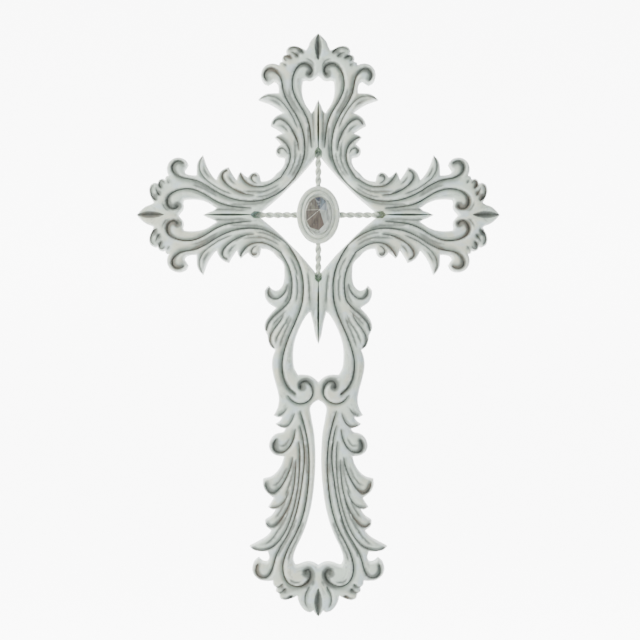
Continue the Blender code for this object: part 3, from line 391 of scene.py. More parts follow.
def evenly(curve, spacing):
    """The curve again, with its points at even distances."""
    run = np.concatenate([[0], np.cumsum(np.linalg.norm(np.diff(curve, axis=0), axis=1))])
    stations = np.linspace(0, run[-1], max(2, round(run[-1] / spacing) + 1))
    return np.stack([np.interp(stations, run, column) for column in curve.T], axis=1)


def placed(points, arm, side):
    """Points of a half-arm drawing on the cross, along an arm's direction and to one side of it."""
    return points[:, 1:] * arm + points[:, :1] * (side * abs(arm[1]), side * abs(arm[0]))


def half_edge(runs, arm, side, spacing):
    """One placed chain, with a point at every corner."""
    curve = None
    for _, points in runs:
        start = [] if curve is None else [tuple(curve[-1])]
        run = smooth(start + list(points), spacing)
        curve = run if curve is None else np.vstack([curve, run[1:]])
    return placed(curve, arm, side)


def closed(*halves):
    """One loop from chains that meet end to end."""
    return np.vstack([half[:-1] for half in halves])


def around(upper, lower, lower_way, spacing):
    """One loop round the crossing from both halves of each arm's chain."""
    halves = []
    for arm, side, outwards in ARM_HALVES:
        runs, way = (lower, lower_way) if arm == DOWN else (upper, arm)
        half = half_edge(runs, way, side, spacing)
        halves.append(half if outwards else half[::-1])
    return closed(*halves)


def outline_loops(spacing):
    """The outer edge and the openings, as closed loops."""
    loops = [around(ARM_EDGE, LOWER_EDGE, UP, spacing), around(DIAMOND_EDGE, DIAMOND_EDGE, DOWN, spacing)]
    hearts = [(HEART_EDGE, arm) for arm in SHORT_ARMS]
    for runs, arm in hearts + [(DROP_EDGE, UP), (SLOT_EDGE, UP)]:
        loops.append(closed(half_edge(runs, arm, 1, spacing), half_edge(runs, arm, -1, spacing)[::-1]))
    return loops


def inside(points, loops):
    """Marks the points within the outline and outside its openings."""
    odd = np.zeros(len(points), bool)
    x, z = points.T
    for loop in loops:
        for (x0, z0), (x1, z1) in zip(loop, np.roll(loop, -1, axis=0)):
            if z0 != z1:
                odd ^= ((z0 > z) != (z1 > z)) & (x < x0 + (z - z0) * (x1 - x0) / (z1 - z0))
    return odd


def distance_to(lines, points):
    """Distance from each point to the nearest of many closely dotted lines."""
    dots = np.vstack(lines)
    tree = KDTree(len(dots))
    for index, (x, z) in enumerate(dots):
        tree.insert((x, z, 0.0), index)
    tree.balance()
    return np.array([tree.find((x, z, 0.0))[2] for x, z in points])


class Groove:
    """One carved line: where it runs, how deep it is along its way and how wide its two sides are."""

    LONGEST_CURL, CURL_SHARE = 34.0, 0.45

    def __init__(self, points, arm, side, share, crest, crown, fade, taper_start=0.0, taper_end=10.0):
        drawn = smooth(points, 1.0)
        run = np.concatenate([[0], np.cumsum(np.linalg.norm(np.diff(drawn, axis=0), axis=1))])
        self.share = np.full(len(drawn), float(share))
        meets_next_arm = abs(drawn[-1][0]) == abs(drawn[-1][1])
        if taper_end and not meets_next_arm:
            self.share *= np.clip((run[-1] - run) / taper_end, 0, 1)
        if taper_start:
            self.share *= np.clip(run / taper_start, 0, 1)
        curled = min(self.LONGEST_CURL, self.CURL_SHARE * run[-1])
        bend = np.clip(run / curled, 0, 1)
        bulge = np.sin(math.pi * np.clip(0.22 + 0.78 * bend, 0, 1)) ** 1.4
        self.stain = THIN_STAIN + (abs(crown) - THIN_STAIN) * bulge
        self.turn = np.ones(len(run)) if crown > 0 else np.clip((bend - 0.5) / 0.18 - 1, -1, 1)
        self.run = run
        self.curve = placed(drawn, arm, side)
        self.line = placed(smooth(points, LINE_STEP), arm, side)
        self.handed = side * (arm[1] - arm[0])
        self.crest, self.fade = crest, fade

    def reach(self, points):
        """Near points, their distance, depth share, stain width and side: 1 on the crest, else -1."""
        margin = max(self.crest, self.fade) + 1.5
        low, high = self.curve.min(axis=0) - margin, self.curve.max(axis=0) + margin
        near = np.flatnonzero(((points > low) & (points < high)).all(axis=1))
        starts, ways = self.curve[:-1], np.diff(self.curve, axis=0)
        offset = points[near][:, None] - starts
        along = np.clip((offset * ways).sum(axis=2) / (ways * ways).sum(axis=1), 0, 1)
        away = offset - along[..., None] * ways
        best = (away ** 2).sum(axis=2).argmin(axis=1)
        rows = np.arange(len(near))
        away, along = away[rows, best], along[rows, best]
        distance = np.linalg.norm(away, axis=1)
        heading = ways[best] / np.linalg.norm(ways[best], axis=1)[:, None]
        lean = (heading[:, 0] * away[:, 1] - heading[:, 1] * away[:, 0]) * self.handed
        share = self.share[best] * (1 - along) + self.share[best + 1] * along
        stain = self.stain[best] * (1 - along) + self.stain[best + 1] * along
        lean *= self.turn[best] / np.maximum(distance, 1e-6)
        return near, distance, share, stain, lean

    def beside(self, offset):
        """Drawn points beside the line, on its crest side where the offset is positive."""
        ahead = np.gradient(self.line, axis=0)
        ahead /= np.linalg.norm(ahead, axis=1)[:, None]
        return self.line + self.handed * offset * np.stack([-ahead[:, 1], ahead[:, 0]], axis=1)


def placings(arm_table, long_arm_table, sides=(1, -1)):
    """Every row of two tables, with each arm and side that it is drawn on."""
    for table, arms in ((arm_table, SHORT_ARMS), (long_arm_table, LONG_ARM)):
        for row in table:
            yield from ((row, arm, side) for arm in arms for side in sides)


def all_grooves(carving):
    """Every groove and scratch on the whole cross."""
    crest, spread = carving.crest_width * 1000, carving.stain_spread
    grooves = [Groove(points, arm, side, share, crest, crown * spread, fade)
               for (_, share, crown, fade, points), arm, side in placings(ARM_GROOVES, LOWER_GROOVES)]
    share = carving.scratch_depth / carving.groove_depth
    widths = (SCRATCH_CREST, SCRATCH_STAIN, SCRATCH_FADE, SCRATCH_TAPER, SCRATCH_TAPER)
    scratches = [Groove(points, arm, side, share, *widths)
                 for points, arm, side in placings(ARM_SCRATCHES, LOWER_SCRATCHES)]
    return grooves, scratches


def rod_notches(grow):
    """Outlines of the pointed seats for the rods' outer ends, and a shared floor height."""
    play, length = 0.3, 10
    notches = []
    for node, (dx, dz) in RODS.items():
        low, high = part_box(node)
        half = (high.y - low.y) / UNIT / 2 + play + grow
        ends = (low.x, high.x, low.z - CROSSING_Z, high.z - CROSSING_Z)
        end = max(abs(e) for e in (ends[:2] if dx else ends[2:])) / UNIT + play + grow
        drawn = [(end - length, -half), (end, -half), (end + half, 0), (end, half), (end - length, half)]
        notches.append(np.array([(dx * a - dz * b, dz * a + dx * b) for a, b in drawn]))
    floor = -(high.y / UNIT) - play
    return notches, floor


def slit_lines():
    """The middle and both sides of every straight cut, as dotted lines."""
    lines, narrowest = [], 0.45
    for table, arms in ((ARM_SLITS, SHORT_ARMS), (LOWER_SLITS, LONG_ARM)):
        for start, end, half_width in table:
            share = np.linspace(0.0, 1.0, round((end - start) / LINE_STEP))
            for across in (-1.0, 0.0, 1.0):
                aside = across * half_width * np.sin(math.pi * share) ** 0.7
                drawn = np.column_stack([aside, start + share * (end - start)])
                kept = drawn if not across else drawn[np.abs(aside) > narrowest]
                lines += [placed(kept, arm, 1) for arm in arms]
    return lines


class Marks:
    """What carving does at each point: the cut in millimetres, and shares of stain, haze and painted crest
    highlight.
    """

    def __init__(self, points, deep):
        self.points, self.deep = points, deep
        self.cut, self.hollow, self.haze, self.crest = (np.zeros(len(points)) for _ in range(4))

    def keep(self, near=slice(None), **values):
        """Keeps the strongest value at each of the points given."""
        for name, found in values.items():
            kept = getattr(self, name)
            kept[near] = np.maximum(kept[near], found)

    def add_groove(self, groove):
        """A steep side at the crest with a painted highlight, an open side that fades out, and a stain that
        pools in wide curls.
        """
        near, distance, share, stain, lean = groove.reach(self.points)
        open_side = np.clip(0.5 - 0.5 * lean, 0, 1)
        swollen = 0.35 * (stain - THIN_STAIN)
        width = groove.crest + swollen + (groove.fade - groove.crest) * open_side
        ratio = np.clip(1 - distance / width, 0, 1)
        shown = np.clip(share / 0.3, 0, 1) * np.clip(0.45 + 0.65 * groove.share.max(), 0, 1)
        core = np.clip(1.4 - distance / (0.45 + swollen + (stain - 0.45 - 0.5 * swollen) * open_side), 0, 1)
        pooled = 1 + 0.4 * np.clip((stain - 2.0) / 1.6, 0, 1)
        soft = np.clip(1 - distance / (1.0 + swollen + (1.3 * groove.fade - 1.0) * open_side), 0, 1) ** 0.8
        # A painted highlight along the crest beside the groove.
        ridge = np.exp(-((distance - groove.crest - 0.2) / 1.0) ** 2) * np.clip(1.4 - 1.6 * open_side, 0, 1)
        self.keep(near, cut=self.deep * share * ratio ** (1.15 + 0.75 * open_side),
                  hollow=core * shown * pooled, haze=soft * shown, crest=ridge * np.clip(1.3 * share, 0, 1))

    def add_slit(self, start, end, half_width, arm):
        """A straight cut on an arm's centre line, deepest and widest midway."""
        along = self.points @ np.array(arm, float)
        across = np.abs(self.points @ np.array((arm[1], arm[0]), float))
        share = (along - start) / (end - start)
        bow = np.sin(math.pi * np.clip(share, 0, 1)) ** 0.7
        ratio = np.clip(1 - across / np.maximum(half_width * bow, 0.3), 0, 1) * (bow > 0.01)
        self.keep(cut=self.deep * np.sqrt(bow) * ratio, hollow=np.clip(3.8 * ratio, 0, 1.3),
                  haze=np.clip(2.6 * ratio, 0, 1))

    def add_eye(self, centre, radius, arm, side):
        """A round dark hollow in a scroll."""
        away = np.linalg.norm(self.points - placed(np.array([centre]), arm, side), axis=1) / radius
        self.keep(cut=0.9 * self.deep * np.clip(1 - away ** 2, 0, 1),
                  hollow=np.clip(2.1 - 1.1 * away, 0, 1.35), haze=np.clip(2.0 - away, 0, 1))


def broad_shade(points):
    """Share of the broad soft shades at each point."""
    shade = np.zeros(len(points))
    for (centre, sizes, strength), arm, side in placings(ARM_SHADES, LOWER_SHADES):
        spans = placed(np.array([sizes]), (abs(arm[0]), abs(arm[1])), 1)
        away = (points - placed(np.array([centre]), arm, side)) / spans
        shade = np.maximum(shade, strength * np.exp(-1.6 * (away ** 2).sum(axis=1)))
    return shade


def relief(points, to_edge, carving):
    """Height off the wall at each point, in millimetres, and its shares of stain, haze and painted crest
    highlight.
    """
    edge, crest_height = carving.edge_height * 1000, CREST * 1000
    shoulder = np.clip(to_edge / (carving.shoulder_width * 1000), 0, 1)
    swell = np.clip(to_edge / (carving.swell_width * 1000), 0, 1)
    rise = SHOULDER_RISE * np.sqrt(1 - (1 - shoulder) ** 2) + SWELL_RISE * (1 - (1 - swell) ** 2)
    height = edge + (crest_height - edge) * rise
    marks = Marks(points, carving.groove_depth * 1000)
    grooves, scratches = all_grooves(carving)
    for groove in grooves + scratches:
        marks.add_groove(groove)
    for slit, arm, _ in placings(ARM_SLITS, LOWER_SLITS, sides=(1,)):
        marks.add_slit(*slit, arm)
    for eye, arm, side in placings(ARM_EYES, LOWER_EYES):
        marks.add_eye(*eye, arm, side)
    shade = broad_shade(points)
    haze = np.maximum(marks.haze, shade + marks.haze * (1 - shade) * 0.9)
    fitting = np.minimum(marks.cut, height - LOWEST_CARVING)
    return height - fitting, marks.hollow, haze, marks.crest


def flow_along(points, faces, grooves):
    """Where each point lies beside its nearest groove, across and along in metres, and how surely so."""
    shift_per_groove = 57.0
    tree = KDTree(sum(len(groove.curve) for groove in grooves))
    across, along, owner = [], [], []
    for number, groove in enumerate(grooves):
        ahead = np.gradient(groove.curve, axis=0)
        ahead /= np.linalg.norm(ahead, axis=1)[:, None]
        for (x, z), run, way in zip(groove.curve, groove.run, ahead):
            tree.insert((x, z, 0.0), len(along))
            along.append(run + shift_per_groove * number)
            owner.append(number)
            across.append((x, z, -way[1], way[0]))
    tree.balance()
    nearest = np.array([tree.find((x, z, 0.0))[1] for x, z in points])
    there = np.array(across)[nearest]
    away = points - there[:, :2]
    aside = (away * there[:, 2:]).sum(axis=1)
    ahead = away[:, 0] * there[:, 3] - away[:, 1] * there[:, 2] + np.array(along)[nearest]
    corners = np.array(owner)[nearest][faces]
    jump = np.ptp(ahead[faces], axis=1) > 6
    meeting = points[np.unique(faces[(np.ptp(corners, axis=1) > 0) | jump])]
    sure = np.clip((distance_to([meeting], points) - 0.9) / 2.2, 0, 1)
    return np.column_stack([aside / 1000, ahead / 1000, sure])


def keyhole_outlines():
    """Outlines of the keyhole's mouth and of the wider room behind its lip, and their depths."""
    entry, seat, head, slot = 75.0, 86.0, 4.75, 2.25
    lip, depth = 2.0, 6.0
    turn = math.asin(slot / head)
    turns = np.linspace(turn, 2 * math.pi - turn, 36)
    mouth = [(head * math.sin(t), entry + head * math.cos(t)) for t in turns]
    mouth += [(-slot * math.cos(t), seat + slot * math.sin(t)) for t in np.linspace(0, math.pi, 14)]
    wide = head + 0.05
    half = np.linspace(0, math.pi, 20)
    room = [(wide * math.cos(t), seat + wide * math.sin(t)) for t in half]
    room += [(-wide * math.cos(t), entry - wide * math.sin(t)) for t in half]
    return np.array(mouth), np.array(room), lip, depth


def triangles_between(points, pairs, loops):
    """Delaunay triangles over points with fixed lines, as indices, that lie within the loops."""
    drawn = [Vector(point) for point in points]
    corners, _, faces, *_ = delaunay_2d_cdt(drawn, pairs, [], 0, 1e-4)
    corners, faces = np.array(corners), np.array(faces)
    return corners, faces[inside(corners[faces].mean(axis=1), loops)]


def loop_pairs(count, first):
    """Edges round a closed loop of points that starts at an index."""
    return [(first + n, first + (n + 1) % count) for n in range(count)]


def face_sides(faces):
    """The three directed edges of every triangle."""
    return np.vstack([faces[:, [0, 1]], faces[:, [1, 2]], faces[:, [2, 0]]])


def softened(values, faces, steady, rounds):
    """Evens out values over the mesh, apart from the points that hold their own."""
    own, neighbours = 0.45, 0.55
    pairs = np.unique(np.sort(face_sides(faces), axis=1), axis=0)
    links = np.bincount(pairs.ravel(), minlength=len(values))[:, None]
    for _ in range(rounds):
        total = np.zeros_like(values)
        np.add.at(total, pairs[:, 0], values[pairs[:, 1]])
        np.add.at(total, pairs[:, 1], values[pairs[:, 0]])
        values = np.where(steady[:, None], values, own * values + neighbours * total / links)
    return values


def face_points(carving, loops, dots, lines, grooves):
    """Points of the carved face, and pairs of them that its triangles have to join."""
    coarse = outline_loops(1.2)
    points, pairs = [], []
    for loop in loops:
        pairs += loop_pairs(len(loop), len(points))
        points += list(loop)
    for outline in rod_notches(0.0)[0] + rod_notches(0.12)[0]:
        line = evenly(outline, carving.line_spacing * 1000)
        pairs += [(len(points) + n, len(points) + n + 1) for n in range(len(line) - 1)]
        points += list(line)
    followed = [(line, LINE_CLEARANCE) for line in lines]
    for loop in loops:
        ring = np.vstack([loop[-1:], loop, loop[:1]])
        ahead = ring[2:] - ring[:-2]
        ahead /= np.linalg.norm(ahead, axis=1)[:, None]
        for offset in RIM_OFFSETS:
            followed += [(loop + way * offset * np.stack([-ahead[:, 1], ahead[:, 0]], axis=1),
                          RIM_KEPT * offset) for way in (1, -1)]
    stacked = np.vstack([line for line, _ in followed])
    far = distance_to(dots, stacked)
    within = inside(stacked, coarse)
    first = 0
    for line, clearance in followed:
        good = within[first:first + len(line)] & (far[first:first + len(line)] > clearance)
        first += len(line)
        for n in np.flatnonzero(good):
            if n and good[n - 1]:
                pairs.append((len(points) - 1, len(points)))
            points.append(line[n])
    beside = np.vstack([groove.beside(offset) for groove in grooves for offset in BESIDE_OFFSETS])
    beside = beside[inside(beside, coarse)]
    beside = beside[distance_to(dots, beside) > BESIDE_EDGE_GAP]
    beside = beside[distance_to([np.array(points)], beside) > BESIDE_POINT_GAP]
    points += list(beside)
    step = carving.point_spacing * 1000
    low, high = loops[0].min(axis=0), loops[0].max(axis=0)
    rise = step * 0.866
    across, up = np.meshgrid(np.arange(low[0], high[0], step), np.arange(low[1], high[1], rise))
    across[1::2] += step / 2
    grid = np.stack([across.ravel(), up.ravel()], axis=1)
    grid = grid[inside(grid, coarse)]
    grid = grid[distance_to([np.array(points)], grid) > 0.45 * step]
    return points + list(grid), pairs


def carved_surface(carving):
    """Points, faces, heights, paint masks and flow of the whole carved face, in millimetres."""
    loops = outline_loops(carving.line_spacing * 1000)
    dots = [evenly(np.vstack([loop, loop[:1]]), 0.15) for loop in loops]
    grooves, scratches = all_grooves(carving)
    lines = [groove.line for groove in grooves + scratches] + slit_lines()
    points, pairs = face_points(carving, loops, dots, lines, grooves)
    front, faces = triangles_between(points, pairs, loops)
    used, faces = np.unique(faces, return_inverse=True)
    front, faces = front[used], faces.reshape(-1, 3)
    to_edge = distance_to(dots, front)
    rough = np.column_stack(relief(front, to_edge, carving))
    steady = (to_edge < 1.1) | (distance_to([line for line in lines if len(line)], front) < 0.05)
    height, hollow, haze, crest = softened(rough, faces, steady, 3).T.copy()
    notches, notch_floor = rod_notches(0.06)
    for outline in notches:
        seated = inside(front, [outline])
        height[seated] = notch_floor
        hollow[seated], haze[seated] = 0.0, 0.0
    masks = np.column_stack([hollow, haze, crest, to_edge, np.zeros(len(front))])
    return front, faces, height, masks, flow_along(front, faces, grooves)


def carved_mesh(carving):
    """The carved cross as one closed mesh with its paint masks."""
    front, faces, height, masks, flow = carved_surface(carving)
    sides = face_sides(faces)
    _, index, counts = np.unique(np.sort(sides, axis=1), axis=0, return_index=True, return_counts=True)
    rim = sides[index[counts == 1]]
    ring = np.unique(rim)
    count = len(front)
    below = np.full(count, -1)
    below[ring] = count + np.arange(len(ring))
    walls = np.stack([rim[:, 1], rim[:, 0], below[rim[:, 0]], below[rim[:, 1]]], axis=1)
    mouth, room, lip, depth = keyhole_outlines()
    back_points = list(front[ring]) + list(mouth)
    renumber = {old: new for new, old in enumerate(ring)}
    pairs = [(renumber[a], renumber[b]) for a, b in rim] + loop_pairs(len(mouth), len(ring))
    _, back_faces = triangles_between(back_points, pairs, outline_loops(LINE_STEP) + [mouth])
    places = [np.column_stack([front, height]), np.column_stack([front[ring], np.zeros(len(ring))])]
    masks = [masks, np.tile(BARE, (len(ring), 1))]
    polygons = [tuple(face) for face in faces] + [tuple(wall) for wall in walls]
    polygons += [tuple(count + face[::-1]) for face in back_faces]
    first = count + len(ring)
    holes = [(mouth, 0.0), (mouth, lip), (room, lip), (room, depth)]
    for outline, off_wall in holes:
        places.append(np.column_stack([outline, np.full(len(outline), off_wall)]))
        masks.append(np.tile(BARE, (len(outline), 1)))
    lip_first, ledge_first = first + len(mouth), first + 2 * len(mouth)
    floor_first = ledge_first + len(room)
    for near, far, outline in ((first, lip_first, mouth), (ledge_first, floor_first, room)):
        polygons += [(near + a, near + b, far + b, far + a) for a, b in loop_pairs(len(outline), 0)]
    ledge_pairs = loop_pairs(len(mouth), 0) + loop_pairs(len(room), len(mouth))
    _, ledge = triangles_between(list(mouth) + list(room), ledge_pairs, [mouth, room])
    polygons += [tuple(lip_first + face) for face in ledge]
    polygons.append(tuple(floor_first + n for n in range(len(room))))
    mesh = new_mesh("carved_frame", np.vstack(places), polygons)
    store_masks(mesh, np.vstack(masks))
    whole = np.vstack([flow, np.vstack(places)[count:] / 1000]).astype(np.float32)
    mesh.attributes.new("flow", "FLOAT_VECTOR", "POINT").data.foreach_set("vector", whole.ravel())
    return mesh


def new_mesh(name, places, polygons):
    """A mesh in the cross's own frame from drawn points and heights, with its faces pointing out."""
    x, z, height = places[:, 0] * UNIT, CROSSING_Z + places[:, 1] * UNIT, places[:, 2] / 1000
    mesh = bpy.data.meshes.new(name)
    mesh.from_pydata(np.column_stack([x, -height, z]).tolist(), [], [tuple(map(int, p)) for p in polygons])
    bm = bmesh.new()
    bm.from_mesh(mesh)
    bmesh.ops.recalc_face_normals(bm, faces=bm.faces)
    bm.to_mesh(mesh)
    bm.free()
    mesh.shade_smooth()
    mesh.set_sharp_from_angle(angle=SHARP_ANGLE)
    return mesh


def store_masks(mesh, masks):
    """Keeps what the paint needs to know at each point."""
    for name, column in zip(MASKS, masks.T):
        mesh.attributes.new(name, "FLOAT", "POINT").data.foreach_set("value", column.astype(np.float32))


def add_piece(name, mesh, material, node):
    """Puts a finished mesh in the scene in place of a solid, riding on the cross."""
    piece = bpy.data.objects.new(name, mesh)
    bpy.context.scene.collection.objects.link(piece)
    mesh.materials.clear()
    mesh.materials.append(material)
    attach(piece, BODY)
    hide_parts(node)
    return piece


def add_node(tree, kind, settings, sockets, output=0):
    """Adds a node with its settings, links or sets its sockets, and gives one of its outputs."""
    made = tree.nodes.new(kind)
    for key, value in settings.items():
        setattr(made, key, value)
    for key, value in sockets.items():
        if isinstance(value, bpy.types.NodeSocket):
            tree.links.new(value, made.inputs[key])
        else:
            made.inputs[key].default_value = value
    return made.outputs[output]


class Value:
    """A number that changes over a surface, with Python's arithmetic."""

    def __init__(self, finish, socket):
        self.finish, self.socket = finish, socket

    def work(self, operation, first, second):
        """One step of arithmetic."""
        return self.finish.node("ShaderNodeMath", {"operation": operation}, {0: first, 1: second})

    def __add__(self, other):
        return self.work("ADD", self, other)

    def __radd__(self, other):
        return self.work("ADD", other, self)

    def __sub__(self, other):
        return self.work("SUBTRACT", self, other)

    def __rsub__(self, other):
        return self.work("SUBTRACT", other, self)

    def __mul__(self, other):
        return self.work("MULTIPLY", self, other)

    def __rmul__(self, other):
        return self.work("MULTIPLY", other, self)

    def between(self, low, high):
        """Rises smoothly from 0 to 1 as the value goes from low to high."""
        return self.finish.node("ShaderNodeMapRange", {"interpolation_type": "SMOOTHSTEP"},
                                {0: self, 1: low, 2: high, 3: 0.0, 4: 1.0})


class Finish:
    """A material under construction."""

    def __init__(self, name):
        self.material = bpy.data.materials.new(name)
        self.material.use_nodes = True
        self.tree = self.material.node_tree
        self.shader = self.tree.nodes["Principled BSDF"]
        self.place = self.node("ShaderNodeTexCoord", {}, {}, "Object")

    def node(self, kind, settings, sockets, output=0):
        """Adds any node: its settings, then the values or links of its sockets."""
        plain = {key: value.socket if isinstance(value, Value) else value for key, value in sockets.items()}
        return Value(self, add_node(self.tree, kind, settings, plain, output))

    def plug(self, socket, value):
        """Links a value to a socket, or sets the socket to a constant."""
        if isinstance(value, Value):
            self.tree.links.new(value.socket, socket)
        else:
            socket.default_value = value

    def mix(self, first, second, share):
        """Goes from one colour to another."""
        first, second = (c if isinstance(c, Value) else (*c, 1.0) for c in (first, second))
        settings = {"data_type": "RGBA", "clamp_factor": True}
        return self.node("ShaderNodeMix", settings, {0: share, 6: first, 7: second}, 2)

    def noise(self, scale, detail=3.0, stretch=(1, 1, 1), distortion=0.0, where=None):
        """Soft irregular spots, about 1 / scale metres across."""
        place = self.node("ShaderNodeMapping", {}, {"Vector": where or self.place, "Scale": stretch})
        sockets = {"Vector": place, "Scale": scale, "Detail": detail, "Distortion": distortion}
        return self.node("ShaderNodeTexNoise", {"noise_dimensions": "3D"}, sockets)

    def mask(self, name):
        """A value that a mesh keeps at its points."""
        return self.node("ShaderNodeAttribute", {"attribute_name": name}, {}, "Fac")

    def bump(self, height, distance, strength):
        """Raises the surface's look by a height."""
        sockets = {"Strength": strength, "Distance": distance, "Height": height}
        self.plug(self.shader.inputs["Normal"], self.node("ShaderNodeBump", {}, sockets, "Normal"))


def whitewash(name, colours, carved=False):
    """Whitewash over wood: cloudy and brushed, with a painted highlight on crests and rims, stained in the
    hollows.
    """
    finish = Finish(name)
    hollow, haze, crest, to_edge, bare = (finish.mask(mask) for mask in MASKS)
    stroke, sure = finish.place, 1.0
    if carved:
        stroke = finish.node("ShaderNodeAttribute", {"attribute_name": "flow"}, {}, "Vector")
        sure = finish.node("ShaderNodeSeparateXYZ", {}, {"Vector": stroke}, "Z")
    clouds, drifts = finish.noise(24, 2.0), finish.noise(58, 3.0, (1, 1, 1.3))
    brushed, specks = finish.noise(260, 4.0, distortion=0.6), finish.noise(1300, 3.0)
    flat = 0.0 if carved else 1.0
    streaks = 0.5 + (finish.noise(620, 3.0, (1, 0.07, flat), where=stroke) - 0.5) * sure
    strokes = 0.5 + (finish.noise(240, 2.0, (1, 0.10, flat), where=stroke) - 0.5) * sure
    grain = finish.noise(900, 4.0, (1, 1, 0.05), distortion=0.4)
    base, thick = (colours.wash, 0.7) if carved else (colours.aged, 0.15)
    colour = finish.mix(base, colours.warm, clouds.between(0.44, 0.62) * (0.85 if carved else 0.4))
    colour = finish.mix(colour, colours.cool, drifts.between(0.50, 0.66) * thick)
    paint_marks = streaks.between(0.48, 0.68) * 0.48 + strokes.between(0.46, 0.62) * 0.42
    colour = finish.mix(colour, colours.haze, paint_marks * brushed.between(0.3, 0.6))
    thin = (haze + (strokes - 0.5) * 0.6 + (streaks - 0.5) * 0.4).between(0.06, 0.82)
    colour = finish.mix(colour, colours.haze, thin * (0.75 + 0.25 * brushed))
    # A painted highlight along the edges, broken up by the brushing.
    rim = (1 - to_edge.between(0.6, 2.6)) * (0.55 + brushed * 0.5) * (1 - hollow)
    colour = finish.mix(colour, colours.pale, rim)
    # A painted highlight on the crests, and pale streaks of dry brushing.
    highlight_and_dry_brush = crest * (0.55 + strokes * 0.6) + streaks.between(0.56, 0.66) * (1 - haze) * 0.35
    colour = finish.mix(colour, colours.pale, highlight_and_dry_brush)
    ragged = (specks - 0.5) * 0.30 + (brushed - 0.5) * 0.35 + (streaks - 0.5) * 0.45
    stained = hollow + ragged * hollow.between(0.02, 0.3)
    stain = finish.mix(colours.stain, colours.umber, clouds.between(0.50, 0.64) * 0.8)
    colour = finish.mix(colour, colours.haze, stained.between(0.08, 0.5) * 0.8)
    colour = finish.mix(colour, stain, stained.between(0.30, 0.85) * 0.95)
    colour = finish.mix(colour, tuple(0.50 * c for c in colours.stain), stained.between(0.98, 1.36) * 0.75)
    rubbed = specks.between(0.60, 0.68) * (crest * 0.5 + rim * 0.2)
    colour = finish.mix(colour, colours.warm, rubbed)
    wood = finish.mix(colours.wood, tuple(0.58 * c for c in colours.wood), grain.between(0.38, 0.66) * 0.8)
    naked = (bare + (brushed - 0.5) * 0.16).between(0.88, 0.95)
    colour = finish.mix(colour, wood, naked)
    finish.plug(finish.shader.inputs["Base Color"], colour)
    finish.plug(finish.shader.inputs["Roughness"], 0.60 + 0.2 * hollow + 0.12 * brushed)
    finish.bump(streaks * 0.9 + strokes * 0.7 + grain * 0.35 + brushed * 0.5 + specks * 0.2, 0.0005, 0.6)
    return finish.material


def settings_of(context):
    """All settings of the cross."""
    return context.scene.scalloped_cross


class CarveFrame(bpy.types.Operator):
    """Carves the wooden cross from its drawing and paints it"""

    bl_idname = "scalloped_cross.carve_frame"
    bl_label = "Carve the cross"

    def execute(self, context):
        settings = settings_of(context)
        material = whitewash("whitewashed_wood", settings.paint, carved=True)
        add_piece("carved_frame", carved_mesh(settings.carving), material, "cross_frame")
        return {"FINISHED"}


def rod_tree(material):
    """Geometry Nodes that twist two strands along a straight line and taper one end."""
    tree = bpy.data.node_groups.new("twisted_rod", "GeometryNodeTree")
    tree.is_modifier = True
    lengths = ["Strand Diameter", "Rod Diameter", "Lobe Pitch", "Point Length"]
    for label in lengths:
        socket = tree.interface.new_socket(label, in_out="INPUT", socket_type="NodeSocketFloat")
        socket.subtype = "DISTANCE"
    for label in ("Inner End", "Outer End"):
        tree.interface.new_socket(label, in_out="INPUT", socket_type="NodeSocketVector")
    tree.interface.new_socket("Rod", in_out="OUTPUT", socket_type="NodeSocketGeometry")
    given = tree.nodes.new("NodeGroupInput")

    def node(kind, settings, sockets, output=0):
        return add_node(tree, kind, settings, sockets, output)

    def maths(operation, first, second):
        return node("ShaderNodeMath", {"operation": operation}, {0: first, 1: second})

    line = node("GeometryNodeCurvePrimitiveLine", {"mode": "POINTS"},
                {"Start": given.outputs["Inner End"], "End": given.outputs["Outer End"]})
    line = node("GeometryNodeResampleCurve", {"mode": "COUNT"}, {"Curve": line, "Count": 90})
    along = node("GeometryNodeSplineParameter", {}, {}, "Length")
    whole = node("GeometryNodeSplineLength", {}, {}, "Length")
    tilt = maths("MULTIPLY", maths("DIVIDE", along, given.outputs["Lobe Pitch"]), math.pi)
    line = node("GeometryNodeSetCurveTilt", {}, {"Curve": line, "Tilt": tilt})
    left = maths("DIVIDE", maths("SUBTRACT", whole, along), given.outputs["Point Length"])
    taper = node("ShaderNodeMapRange", {"interpolation_type": "SMOOTHSTEP"},
                 {0: left, 1: 0.0, 2: 1.0, 3: 0.35, 4: 1.0})
    line = node("GeometryNodeSetCurveRadius", {}, {"Curve": line, "Radius": taper})
    radius = maths("DIVIDE", given.outputs["Strand Diameter"], 2.0)
    shift = maths("SUBTRACT", maths("DIVIDE", given.outputs["Rod Diameter"], 2.0), radius)
    circle = node("GeometryNodeCurvePrimitiveCircle", {"mode": "RADIUS"},
                  {"Resolution": 20, "Radius": radius})
    strands = []
    for way in (1.0, -1.0):
        offset = node("ShaderNodeCombineXYZ", {}, {"X": maths("MULTIPLY", shift, way)})
        strands.append(node("GeometryNodeTransform", {}, {"Geometry": circle, "Translation": offset}))
    both = tree.nodes.new("GeometryNodeJoinGeometry")
    for strand in strands:
        tree.links.new(strand, both.inputs[0])
    solid = node("GeometryNodeCurveToMesh", {},
                 {"Curve": line, "Profile Curve": both.outputs[0], "Fill Caps": True,
                  "Scale": node("GeometryNodeInputRadius", {}, {})})
    solid = node("GeometryNodeSetShadeSmooth", {}, {0: solid})
    solid = node("GeometryNodeRealizeInstances", {}, {0: solid})
    solid = node("GeometryNodeSetMaterial", {}, {"Geometry": solid, "Material": material})
    end = tree.nodes.new("NodeGroupOutput")
    tree.links.new(solid, end.inputs["Rod"])
    return tree


def rod_axis(node):
    """The middle of a rod's solid, and the way from there to its outer end."""
    low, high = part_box(node)
    dx, dz = RODS[node]
    half = (high - low) / 2
    return (low + high) / 2, Vector((dx * half.x, 0.0, dz * half.z))


